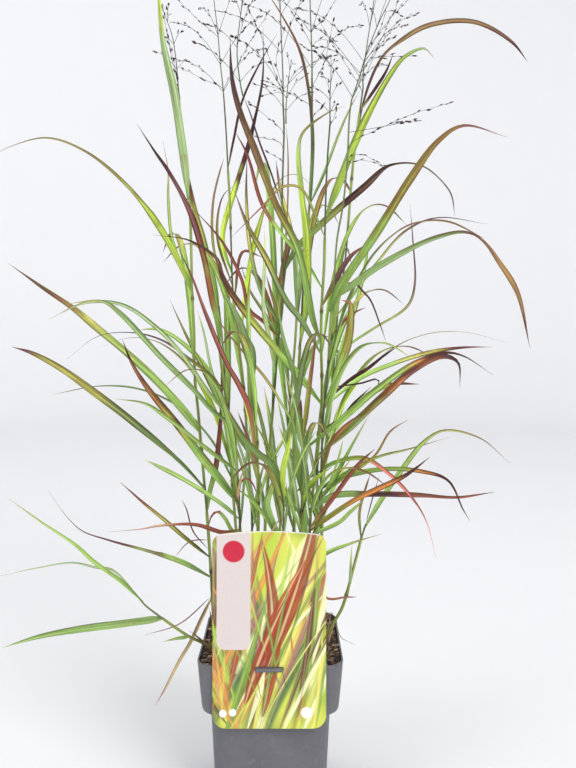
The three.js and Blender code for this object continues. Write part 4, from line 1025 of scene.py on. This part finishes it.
class Course:
    """A smooth line through points: between two of them a cubic whose end slopes follow the
    neighbours, with knots spaced by the fourth root of the squared distances."""

    def __init__(self, points):
        p = np.asarray(points, dtype=float)
        self.count = len(p) - 1
        padded = np.vstack([2 * p[0] - p[1], p, 2 * p[-1] - p[-2]])
        gap = (np.diff(padded, axis=0) ** 2).sum(1) ** 0.25
        d0, d1, d2 = gap[:-2, None], gap[1:-1, None], gap[2:, None]
        d1 = np.where(d1 < 1e-4, 1, d1)
        d0 = np.where(d0 < 1e-4, d1, d0)
        d2 = np.where(d2 < 1e-4, d1, d2)
        x0, x1, x2, x3 = padded[:-3], padded[1:-2], padded[2:-1], padded[3:]
        t1 = ((x1 - x0) / d0 - (x2 - x0) / (d0 + d1) + (x2 - x1) / d1) * d1
        t2 = ((x2 - x1) / d1 - (x3 - x1) / (d1 + d2) + (x3 - x2) / d2) * d1
        self.cubic = x1, t1, -3 * x1 + 3 * x2 - 2 * t1 - t2, 2 * x1 - 2 * x2 + t1 + t2
        steps = np.diff(self.at(np.linspace(0, 1, 201)), axis=0)
        self.length = float(np.linalg.norm(steps, axis=1).sum())

    def at(self, shares):
        """Points at shares of the line's own parameter."""
        s = np.clip(np.asarray(shares, dtype=float), 0, 1) * self.count
        leg = np.minimum(s.astype(int), self.count - 1)
        w = (s - leg)[:, None]
        c0, c1, c2, c3 = (c[leg] for c in self.cubic)
        return c0 + w * (c1 + w * (c2 + w * c3))

    def along(self, shares):
        """Unit directions at shares, from points a hair before and after."""
        s = np.asarray(shares, dtype=float)
        return unit(self.at(s + 1e-4) - self.at(s - 1e-4))

    def even(self, step, least=8):
        """Shares of the parameter at even lengths of about a step along the line."""
        fine = np.linspace(0, 1, 401)
        run = np.append(0, np.cumsum(np.linalg.norm(np.diff(self.at(fine), axis=0), axis=1)))
        count = max(least, round(run[-1] / step))
        return np.interp(np.linspace(0, run[-1], count + 1), run, fine), run[-1]


def lengths_along(course):
    """The length of a line on the sheet up to each of its points."""
    return np.append(0, np.cumsum(np.hypot(*np.diff(course, axis=0).T)))


def collar_of(stem, v):
    """Where a stem passes a height on the sheet: u, v and depth."""
    course, (near, far) = stem["course"], stem["depth"]
    run = lengths_along(course)
    below = [i for i in range(len(course) - 1) if course[i + 1, 1] <= v]
    i = below[0] if below else len(course) - 2
    part = min(1, max(0, (v - course[i, 1]) / (course[i + 1, 1] - course[i, 1])))
    share = (run[i] + (run[i + 1] - run[i]) * part) / run[-1]
    return (*(course[i] + (course[i + 1] - course[i]) * part), near + (far - near) * share)


class Keep:
    """The lattice of cells that stems, blades and branches already run through, each with its
    owner's number, or SEVERAL where owners meet."""

    SEVERAL = 127
    origin = np.array([160, 160, 60])
    around = np.stack(np.meshgrid([-1, 0, 1], [-1, 0, 1], [-1, 0, 1]), -1).reshape(-1, 3)

    def __init__(self):
        self.owner = np.zeros((320, 320, 440), dtype=np.int8)

    def cells(self, points):
        return np.floor(np.asarray(points) / CELL + 0.5).astype(int) + self.origin

    def take(self, points, owner):
        """Marks the cells at and around points as the owner's."""
        spot = tuple((self.cells(points)[:, None] + self.around).reshape(-1, 3).T)
        held = self.owner[spot]
        self.owner[spot] = np.where((held == 0) | (held == owner), owner, self.SEVERAL)

    def clashes(self, points, owner):
        """How many of the points lie in another owner's cell."""
        held = self.owner[tuple(self.cells(points).T)]
        return int(((held != 0) & (held != owner)).sum())


keep = Keep()


def sheet_points(points, depth_from, depth_to, bow=0):
    """The points of the sheet, with depth going evenly from one end's to the other's, plus a
    bow that is fullest halfway."""
    run = lengths_along(points)
    at = run / run[-1]
    depth = depth_from + (depth_to - depth_from) * at + 4 * bow * at * (1 - at)
    return np.array([on_sight_line(u, v, d) for (u, v), d in zip(points, depth)])


def arch_points(start, heading, reach, rise):
    """A blade that leaves its collar along a heading, rises and nods: the run grows as
    0.55 s + 0.45 s squared, the lift as 2.5 s - 1.65 s squared."""
    s = np.linspace(0, 1, 6)
    run, lift = reach * (0.55 * s + 0.45 * s ** 2), rise * (2.5 * s - 1.65 * s ** 2)
    angle = math.radians(heading)
    return start + np.column_stack([math.cos(angle) * run, math.sin(angle) * run, lift])


def half_width(width, share, power=BLADE_TAPER_POWER):
    """Half a blade's width: half of it at the collar, opening by a smooth step, then tapering
    by a power of the way past the widest stretch."""
    s = within(share / BLADE_OPEN_AT)
    opening = BLADE_COLLAR_SHARE + (1 - BLADE_COLLAR_SHARE) * s * s * (3 - 2 * s)
    past = np.maximum(0, share - BLADE_TAPER_FROM) / (1 - BLADE_TAPER_FROM)
    return width * opening * (1 - past ** power) / 2


def across_blade(course, shares, turn, arching):
    """Middles, directions and width directions: square to the eye, or flat under the sky when
    the blade arches, then turned about the blade by twists given at even shares."""
    middle, along = course.at(shares), course.along(shares)
    face = np.broadcast_to([0.0, 0.0, 1.0], middle.shape) if arching else EYE - middle
    side = unit(np.cross(along, face))
    twist = np.radians(np.interp(shares, np.linspace(0, 1, len(turn)), turn))[:, None]
    return middle, along, side * np.cos(twist) + np.cross(along, side) * np.sin(twist)


def trail(course, width=0, turn=(0, 0), arching=False):
    """Points all along a piece, and along both edges when it has a width."""
    shares = np.linspace(0, 1, math.ceil(course.length / TRAIL_STEP) + 1)
    middle, _, side = across_blade(course, shares, turn, arching)
    if not width:
        return middle
    reach = np.maximum(half_width(width, shares), 0.45)[:, None] * side
    return np.vstack([middle, middle + reach, middle - reach])


def clearest(owner, trial_points, width=0, turn=(0, 0), arching=False):
    """The first trial course that passes clear of other owners, or the least bad one."""
    best, fewest = None, math.inf
    for trial in range(LEAN_TRIES * len(BOWS)):
        rank = trial // len(BOWS)
        lean = (1 if rank % 2 else -1) * math.ceil(rank / 2) * LEAN_STEP
        course = Course(trial_points(lean, BOWS[trial % len(BOWS)]))
        count = keep.clashes(trail(course, width, turn, arching), owner)
        if count < fewest:
            best, fewest = course, count
        if fewest == 0:
            break
    keep.take(trail(best, width, turn, arching), owner)
    return best


def finish_tone(finish, shares, run, seed):
    """The colour over a blade: its inks blended along it, one half painted lighter and the other
    darker as the light and shade on its fold, dark rims, the edge's ink laid in unevenly from the
    edges, a brightness of the blade's own, and a little grey of the same weight."""
    _, _, edge, stops, inks = FINISHES[finish]
    place = np.stack(np.broadcast_arrays(run, SECTION * 3, seed), -1)
    patch = value_noise(place.reshape(-1, 3) * [1, 2.2, 1], PATCH_SIZE, 61)
    patch = patch.reshape(place.shape[:2])
    stray = BLOTCHED.get(finish, STRAY)
    shift = within(shares[:, None] + TONE_SHIFT * (draw(seed) - 0.5) + stray * patch)
    tone = np.stack([np.interp(shift, stops, inks[:, k]) for k in range(3)], -1)
    # Painted shade over the fold: one half of the blade lighter, the other darker.
    painted_fold_shade = PAINTED_FOLD_SHADE * (-1 if draw(seed + 0.6) < 0.5 else 1) * np.sign(SECTION)
    painted_shade_and_rims = 1 + painted_fold_shade - RIM_DARKER * np.abs(SECTION) ** 8
    tone = tone * painted_shade_and_rims[:, None] * (TONE_LEAST + TONE_SPREAD * draw(seed + 0.25))
    if edge is not None:
        ramp = within((shares[:, None] - EDGE_INK_FROM) / EDGE_INK_SPAN)
        ramp = ramp * np.abs(SECTION) ** 2.5 * (1 + 1.1 * patch)
        tone = over(tone, edge, np.clip(ramp, 0, EDGE_INK_MOST))
    return over(tone, (tone @ BRIGHTNESS_WEIGHTS)[..., None], GREY_SHARE)


# How far each half folds up from the keel, in degrees, at shares along the blade.
FOLD = np.array([[0, 58], [0.1, 36], [0.35, 25], [0.8, 20], [1, 38]])


def blade_surface(course, width, turn, arching, finish, seed, fold=1.0):
    """A blade as a closed skin: upper and lower rows of points across, on stations along. Both
    halves fold up from the keel by an angle that eases from the collar to the open blade and
    closes again at the tip; the edges ripple a little, and the skin thins towards them."""
    fullness, narrowing = FINISHES[finish][:2]
    shares, length = course.even(BLADE_STEP, 10)
    middle, along, side = across_blade(course, shares, turn, arching)
    up = np.cross(side, along)
    if (up[:, 2] * within(1.2 - shares)).sum() < 0:
        up = -up
    half = half_width(width, shares, narrowing) * (1 if arching else fullness)
    half = np.maximum(half, 0.12 + 0.1 * (1 - shares))[:, None]
    angle = np.radians(np.interp(shares, *FOLD.T) * fold)[:, None]
    run = np.linspace(0, length, len(shares))[:, None]
    wave = run / (11 + 6 * draw(seed + 0.4)) + 9 * draw(seed)
    ripple = 0.5 * np.sin(wave) * np.sin(run / 31 + seed)
    lift = (half * np.abs(SECTION) * np.sin(angle)
            + ripple * SECTION ** 3 * np.minimum(1, half / 3) * within(run / 40))
    inward = (1 - np.abs(SECTION)) ** 1.5
    thick = BLADE_EDGE_THICKNESS + (BLADE_MID_THICKNESS - BLADE_EDGE_THICKNESS) * inward
    thick = thick * np.minimum(1, half * 1.4)
    base = middle[:, None] + (half * SECTION * np.cos(angle))[..., None] * side[:, None]
    upper, lower = (base + (lift + half_thick)[..., None] * up[:, None]
                    for half_thick in (thick / 2, -thick / 2))
    points, faces = bodies(np.concatenate([upper, lower[:, ::-1]], 1)[None])
    if np.dot(np.cross(side[0], along[0]), up[0]) > 0:
        faces = [face[::-1] for face in faces]
    wide = half * np.concatenate([SECTION, SECTION[::-1]])
    uv = np.stack(np.broadcast_arrays(wide, run), -1)
    tone = finish_tone(finish, shares, run, seed)
    # The underside is a little paler and duller.
    tone = np.concatenate([tone, tone[:, ::-1] * UNDERSIDE + 0.008], 1)
    return points, faces, uv.reshape(-1, 2), tone.reshape(-1, 3)


def moved_aside(course, reach):
    """The same line moved sideways by half a sine of its parameter, so both ends stay."""
    knots = np.linspace(0, 1, course.count + 1)
    return Course(course.at(knots) + np.outer(reach * np.sin(math.pi * knots), [1, 0, 0]))


def frames_along(course, shares):
    """Two unit vectors across a line at each share, with no turn about it to speak of."""
    along = course.along(shares)
    first = unit(np.cross(along, [0.13, 1.0, 0.07]))
    return first, np.cross(along, first)


def spokes(first, second, sides):
    """Directions round a line at each point: even steps from one vector towards the other."""
    turn = (np.arange(sides) * 2 * math.pi / sides)[:, None]
    return first[:, None] * np.cos(turn) + second[:, None] * np.sin(turn)


def tube_surface(course, shares, radius, sides):
    """A round skin about a line: at each share a ring of the radius there, closed at both ends."""
    spoke = spokes(*frames_along(course, shares), sides)
    return bodies((course.at(shares)[:, None] + spoke * radius[:, None, None])[None])


CULM_SIDES = 10
CULM_STEP = 2.6
CULM_SHARE = 0.76
CULM_TAPER = 0.36
# Joints: least distance apart, the lowest one, and how long and swollen they are; sheaths: how
# long they are, and their rims.
JOINT_STEP = 26
JOINT_LOWEST = 12.0
JOINT_REACH, JOINT_SWELL = 1.9, 0.4
SHEATH_LEAST, SHEATH_SPREAD = 38, 44
RIM_REACH, RIM_SWELL = 1.6, 0.1


def culm_surface(course, stem, collars):
    """The culm in its sheaths: a tapering tube with a swollen dark joint some way under each
    collar, and a sheath from the joint to the collar, a little wider and open at its rim."""
    shares, length = course.even(CULM_STEP)
    run = np.linspace(0, length, len(shares))
    fine = course.at(shares)
    wrap, joint, rim = np.zeros((3, len(run)))
    tops = sorted(run[np.argmin(((fine - collar) ** 2).sum(1))] for collar in collars)
    spaced = [top for top, before in zip(tops, [0, *tops])
              if top - before > JOINT_STEP or before == 0]
    for order, top in enumerate(spaced):
        low = top - SHEATH_LEAST - SHEATH_SPREAD * draw(order + stem["radius"])
        low = max(JOINT_LOWEST, low)
        inside = within((run - low) / 3) * within((top - run) / 2.4 + 0.5)
        wrap = np.maximum(wrap, inside * (0.26 + 0.2 * within((run - low) / 80)))
        joint = np.maximum(joint, np.exp(-((run - low) / JOINT_REACH) ** 2))
        rim = np.maximum(rim, np.exp(-((run - top) / RIM_REACH) ** 2))
    radius = stem["radius"] * (1 - CULM_TAPER * shares) * CULM_SHARE
    radius = radius + wrap + JOINT_SWELL * joint + RIM_SWELL * rim
    seed = stem["foot"][0]
    bare = srgb(0.42, 0.48, 0.31) * (1 - 0.6 * draw(seed + 0.5))
    tone = over(bare, over(INK["fresh"], INK["straw"], 0.25), within(wrap / 0.3))
    low_share = within(1 - (run - 18) / (45 + 40 * draw(seed)))
    tone = over(tone, over(INK["straw"], INK["brick"], 0.4), 0.5 * low_share)
    tone = over(over(tone, INK["maroon"], 0.75 * joint), INK["tan"], 0.3 * rim)
    turn = np.arange(CULM_SIDES) * 2 * math.pi / CULM_SIDES
    round_x = np.abs(turn - math.pi) * radius[:, None] + 3
    uv = np.stack(np.broadcast_arrays(round_x, run[:, None]), -1).reshape(-1, 2)
    return (*tube_surface(course, shares, radius, CULM_SIDES), uv, np.repeat(tone, CULM_SIDES, 0))


def joined(parts):
    """Several skins as one: their points, their faces with the numbers moved up, and whatever
    else they carry at their points."""
    points, faces, *rest = zip(*parts)
    starts = np.cumsum([0, *map(len, points)])
    faces = [[i + start for i in face] for skin, start in zip(faces, starts) for face in skin]
    return (np.vstack(points), faces, *map(np.vstack, rest))


def grass_skin():
    """Grass: the blade's own colours with fine lengthwise veins, a pale midrib, mottling that
    deepens as the blade turns, and a soft sheen; the veins stand up in the bump."""
    grass = Finish("grass_skin", 0.52, 0.26)
    uv = grass.node("UVMap", "UV", {}, uv_map="grain")
    vein_way = grass.node("Mapping", "Vector", {"Vector": uv, "Scale": (0.5, 0.016, 1)})
    veins = grass.noise(1.0, 3.0, 0.68, vein_way)
    colour = grass.mix(1.0, grass.tone(), grass.span(veins, 0.58, 1.5, 0.36, 0.64), "MULTIPLY")
    mottle = grass.noise(95.0, 3.0, 0.62)
    brown = grass.span(mottle, 0.0, 0.42, 0.56, 0.74)
    colour = grass.mix(brown, colour, (*srgb(0.5, 0.34, 0.2), 1))
    across = grass.node("SeparateXYZ", "X", {"Vector": uv})
    off = grass.node("Math", "Value", {0: across}, operation="ABSOLUTE")
    colour = grass.mix(grass.span(off, 0.4, 0.0, 0.1, 0.5), colour, (2.6, 2.1, 3.4, 1), "MULTIPLY")
    return grass.done(colour, grass.bump(veins, 0.35, 0.0003), grass.span(mottle, 0.42, 0.6))


HUSKS_PER_STEM = 4
HUSK_FINISHES = ("straw", "bark", "tan")
HUSK_FOLD = 2.4
SCRAP_TURN = (20, 60)
SCRAP_FOLD = 1.8
INNER_BLADES = 2
INNER_MIDDLE = 283
INNER_REACH = 45
INNER_FINISHES = ("deep", "blue", "fresh", "fresh_dark", "pale")

stem_courses = []
for stem in STEMS:
    course_points = sheet_points(stem["course"], *stem["depth"])
    foot = np.array([*stem["foot"], SOIL_EDGE - STEM_SET_DEPTH])
    first = foot + (course_points[0] - foot) * 0.04
    first[2] = SOIL_EDGE + 1
    stem_courses.append(Course(np.vstack([foot, first, course_points])))
for number, course in enumerate(stem_courses):
    keep.take(trail(course), number + 1)

skin = grass_skin()
blade_count = 0
blade_courses, stem_skins, stem_collars = [], [], []
for owner, stem in enumerate(STEMS, 1):
    parts, collars, courses = [], [], []
    for v, depth_end, width, finish, flat in stem["blade"]:
        blade_count += 1
        side = -1 if draw(blade_count) < 0.5 else 1
        turn = (side * BLADE_TURN, side * BLADE_TIP_TURN * (1 + draw(blade_count + 0.5)))
        row_name = (stem["name"], v)
        u, v, depth = collar_of(stem, v)
        points = np.vstack([[u, v], flat])
        blade = clearest(owner, lambda lean, bow: sheet_points(
            points, depth, depth_end + lean, bow), width, turn)
        courses.append(blade)
        collars.append(on_sight_line(u, v, depth))
        drawn = moved_aside(blade, ASIDE[row_name]) if row_name in ASIDE else blade
        shown_turn = TURNS.get(row_name, turn)
        parts.append(blade_surface(drawn, width, shown_turn, False, finish, blade_count))
    for v, heading, reach, rise, width, finish in stem["arch"]:
        blade_count += 1
        turn = (0, ARCH_TWIST * (draw(blade_count) - 0.5))
        collar = on_sight_line(*collar_of(stem, v))
        blade = clearest(owner, lambda lean, bow: arch_points(
            collar, heading + lean, reach, rise + bow), width, turn, True)
        collars.append(collar)
        parts.append(blade_surface(blade, width, turn, True, finish, blade_count))
    blade_courses.append(courses)
    stem_skins.append(parts)
    stem_collars.append(collars)

# Small inner blades, dry scraps, husks round the foot and the culm itself finish each stem.
for number, (stem, course) in enumerate(zip(STEMS, stem_courses)):
    parts = stem_skins[number]
    in_the_middle = abs(stem["course"][0, 0] - INNER_MIDDLE) < INNER_REACH
    for inner in range(INNER_BLADES if in_the_middle else 0):
        seed = 700 + 10 * number + inner
        low, high = 585 - 30 * draw(seed), 440 + 40 * draw(seed + 0.5)
        u, v, depth = collar_of(stem, low + (high - low) * inner / INNER_BLADES)
        side = 1 if draw(seed + 0.2) < 0.5 else -1
        reach, rise = side * (9 + 34 * draw(seed + 0.7)), 65 + 85 * draw(seed + 0.9)
        points = np.column_stack([u + reach * np.array([0, 0.3, 0.62, 1]),
                                  v - rise * np.array([0, 0.42, 0.75, 1])])
        width, turn = 2.4 + 2.2 * draw(seed + 0.1), (side * BLADE_TURN, side * BLADE_TIP_TURN)
        depth_end = depth + 60 * draw(seed + 0.4) - 15
        blade = clearest(number + 1, lambda lean, bow: sheet_points(
            points, depth, depth_end + lean, bow), width, turn)
        finish = INNER_FINISHES[(number + inner) % len(INNER_FINISHES)]
        parts.append(blade_surface(blade, width, turn, False, finish, seed))
    for row, (v, depth_end, width, finish, flat) in enumerate(stem["scrap"]):
        u, v, depth = collar_of(stem, v)
        scrap = Course(sheet_points(np.vstack([[u, v], flat]), depth, depth_end))
        parts.append(blade_surface(scrap, width, SCRAP_TURN, False, finish, 300 + number + row,
                                   SCRAP_FOLD))
    start = course.at([0.3 / course.count])[0] * [1, 1, 0] + [0, 0, SOIL_EDGE - 1]
    for husk in range(HUSKS_PER_STEM):
        seed = 40 * number + 7 * husk
        angle, tall = 2 * math.pi * draw(seed), 14 + 24 * draw(seed + 0.3)
        out = np.array([math.cos(angle), math.sin(angle), 0])
        lean = course.along([1.2 / course.count])[0] * tall
        strip = Course([start + out * 0.6, start + out * 1.5 + lean * 0.4,
                        start + out * (2.2 + 2.5 * draw(seed + 0.2)) + lean])
        width, turn = 2.6 + 2 * draw(seed + 0.4), (90, 90 + 50 * draw(seed + 0.6))
        finish = HUSK_FINISHES[husk % len(HUSK_FINISHES)]
        parts.append(blade_surface(strip, width, turn, True, finish, seed, HUSK_FOLD))
    parts.append(culm_surface(course, stem, stem_collars[number]))
    piece = new_mesh("leafy_" + stem["name"], *joined(parts))
    piece.data.set_sharp_from_angle(angle=math.radians(50))
    piece.data.materials.append(skin)
    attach(piece, "root")
    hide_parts(stem["name"])

# ---------------------------------------------------------------- seed heads
# An open head of hair-thin stalks, purple-brown in bloom: whorls of branches leave its axis,
# each forks into finer ones, and every end carries a small pointed spikelet.

AXIS_RADIUS = 0.62
BRANCH_RADIUS = 0.22
TWIG_RADIUS = 0.14
WHORL_STEP = 37
GOLDEN_ANGLE = 2.39996
TWIN_ANGLE = 2.7
FIT_GAP = 0.3
SPIKELET_LENGTH = 3.5
SPIKELET_RADIUS = 0.66
SPIKELET_SIDES = 6
# A spikelet's half widths along it, both in shares.
SPIKELET_PROFILE = np.array([[0, 0.25], [0.12, 0.7], [0.34, 1],
                             [0.62, 0.72], [0.86, 0.3], [1, 0.06]])
TWIG_STEP = 5.2
TWIG_REACH = 3.2
STALK_TONE = srgb(0.27, 0.26, 0.23)
AXIS_FOOT_TONE = srgb(0.35, 0.44, 0.25)
SPIKELET_TONES = srgb(0.1, 0.045, 0.07), srgb(0.34, 0.19, 0.19)


def branch_points(start, heading, length, climb):
    """A branch that leaves the axis, rises and nods: out evenly, up as s - 0.45 s squared."""
    s = np.array([0, 0.35, 0.7, 1])
    out = np.array([math.cos(heading), math.sin(heading), 0])
    lift = np.outer(length * climb * (s - 0.45 * s ** 2), [0, 0, 1])
    return start + np.outer(length * 0.8 * s, out) + lift


def thread(course, radius, step=6.0, sides=4, end=0.5):
    """A hair-thin stalk: a tube that tapers to a share of its radius."""
    shares, _ = course.even(step, 4)
    points, faces = tube_surface(course, shares, radius * (1 - (1 - end) * shares), sides)
    return points, faces, np.tile(STALK_TONE, (len(points), 1))


def spikelets(ends, ways, seed):
    """Pointed grains at the given ends, along the given ways: a ring profile with its fullest
    third low, squeezed flat, one array for all."""
    count = len(ends)
    own = np.random.default_rng(seed)
    way = unit(ways)
    first = unit(np.cross(way, own.normal(0, 1, (count, 3))))
    size = own.uniform(0.75, 1.25, count)[:, None, None, None]
    spoke = spokes(first, np.cross(way, first) * 0.62, SPIKELET_SIDES)
    along, out = (SPIKELET_PROFILE * [SPIKELET_LENGTH, SPIKELET_RADIUS]).T[..., None, None]
    points, faces = bodies(ends[:, None, None] + way[:, None, None] * along * size
                           + spoke[:, None] * out * size)
    tone = over(*SPIKELET_TONES, own.uniform(0, 1, count) ** 2.5)
    return points, faces, np.repeat(tone, len(SPIKELET_PROFILE) * SPIKELET_SIDES, 0)


def twigs_on(course, seed):
    """Fine side shoots pressed close to a branch's outer two thirds, each ending in a spikelet
    that points along the branch; and the branch's own last spikelet."""
    own = np.random.default_rng(seed)
    count = max(2, round(course.length * 0.7 / TWIG_STEP))
    shares = 0.3 + 0.7 * (np.arange(count) + own.uniform(0.1, 0.9, count)) / count
    start, along = course.at(shares), course.along(shares)
    first, second = frames_along(course, shares)
    angle = (np.arange(count) * GOLDEN_ANGLE + own.uniform(0, 1, count))[:, None]
    out = first * np.cos(angle) + second * np.sin(angle)
    length = (TWIG_REACH * own.uniform(0.4, 1.3, count) ** 1.5)[:, None]
    mid = start + (along * 0.85 + out * 0.26) * length * 0.5
    end = start + (along + out * 0.24) * length
    twigs = [thread(Course(line), TWIG_RADIUS, 4.0, 3, 0.6) for line in zip(start, mid, end)]
    return twigs, np.vstack([end, course.at([1.0])]), np.vstack([end - mid, course.along([1.0])])


def head_skin():
    """Seed-head stalks and grains: purple-brown with paler flecks, dry and matt."""
    bloom = Finish("head_skin", 0.7, 0.25)
    fleck = bloom.noise(650.0, 2.0)
    colour = bloom.mix(1.0, bloom.tone(), bloom.span(fleck, 0.7, 1.35, 0.3, 0.7), "MULTIPLY")
    return bloom.done(colour, bloom.bump(fleck, 0.4, 0.0003))


head_finish = head_skin()
head_count = 0
for number, stem in enumerate(STEMS):
    for stalk, depth_end, branch_length, bare_share, flat, long_branches in stem["head"]:
        head_count += 1
        owner = 40 + head_count
        on_top = stalk < 0
        carrier = stem_courses[number] if on_top else blade_courses[number][int(stalk)]
        depth_start = stem["depth"][1] if on_top else stem["blade"][int(stalk)][1]
        foot = carrier.at([1.0])[0] + carrier.along([1.0])[0] * FIT_GAP
        axis = Course(np.vstack([foot, sheet_points(flat, depth_start, depth_end)]))
        keep.take(trail(axis), owner)
        branches = []
        whorls = max(4, round(axis.length * (1 - bare_share) / WHORL_STEP))
        for whorl in range(whorls):
            height = bare_share + (1 - bare_share) * (whorl + 0.35) / whorls
            root = axis.at([height])[0]
            for twin in range(2):
                order = head_count * 100 + whorl * 2 + twin
                reach = branch_length * (1.1 - 0.75 * height) * (0.75 + 0.5 * draw(order))
                heading = GOLDEN_ANGLE * whorl + TWIN_ANGLE * twin + draw(order + 0.3)
                climb = 0.95 + 0.5 * draw(order + 0.6)
                branches.append(clearest(owner, lambda lean, bow: branch_points(
                    root, heading + lean / 25, reach, climb + bow / 40)))
        fine = np.vstack([axis.at(np.linspace(0, 1, 200)), carrier.at(np.linspace(0.5, 1, 200))])
        # A long branch starts at the depth where its foot is nearest to the axis or the stalk.
        for line in long_branches:
            depths = np.linspace(-120, 160, 57)
            gaps = [np.linalg.norm(fine - on_sight_line(*line[0], d), axis=1).min() for d in depths]
            depth = depths[int(np.argmin(gaps))]
            line = sheet_points(line, depth, depth + 12 * (draw(len(branches)) - 0.5))
            joint = fine[np.linalg.norm(fine - line[0] + [0, 0, 6], axis=1).argmin()]
            branches.append(Course(np.vstack([joint, line])))
        points, faces, tone = thread(axis, AXIS_RADIUS, 8.0, 6, 0.3)
        green = within(1 - np.arange(len(points)) / len(points) * 1.3)
        parts = [(points, faces, over(tone, AXIS_FOOT_TONE, green))]
        ends, ways = [axis.at([1.0])], [axis.along([1.0])]
        for order, branch in enumerate(branches):
            twigs, tips, tip_ways = twigs_on(branch, 1000 * head_count + order)
            parts += [thread(branch, BRANCH_RADIUS), *twigs]
            ends.append(tips)
            ways.append(tip_ways)
        parts.append(spikelets(np.vstack(ends), np.vstack(ways), head_count))
        points, faces, tone = joined(parts)
        piece = new_mesh(f"bloom_{head_count:02d}", points, faces, tone=tone)
        piece.data.materials.append(head_finish)
        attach(piece, "root")
        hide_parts(f"seed_head_{head_count:02d}")
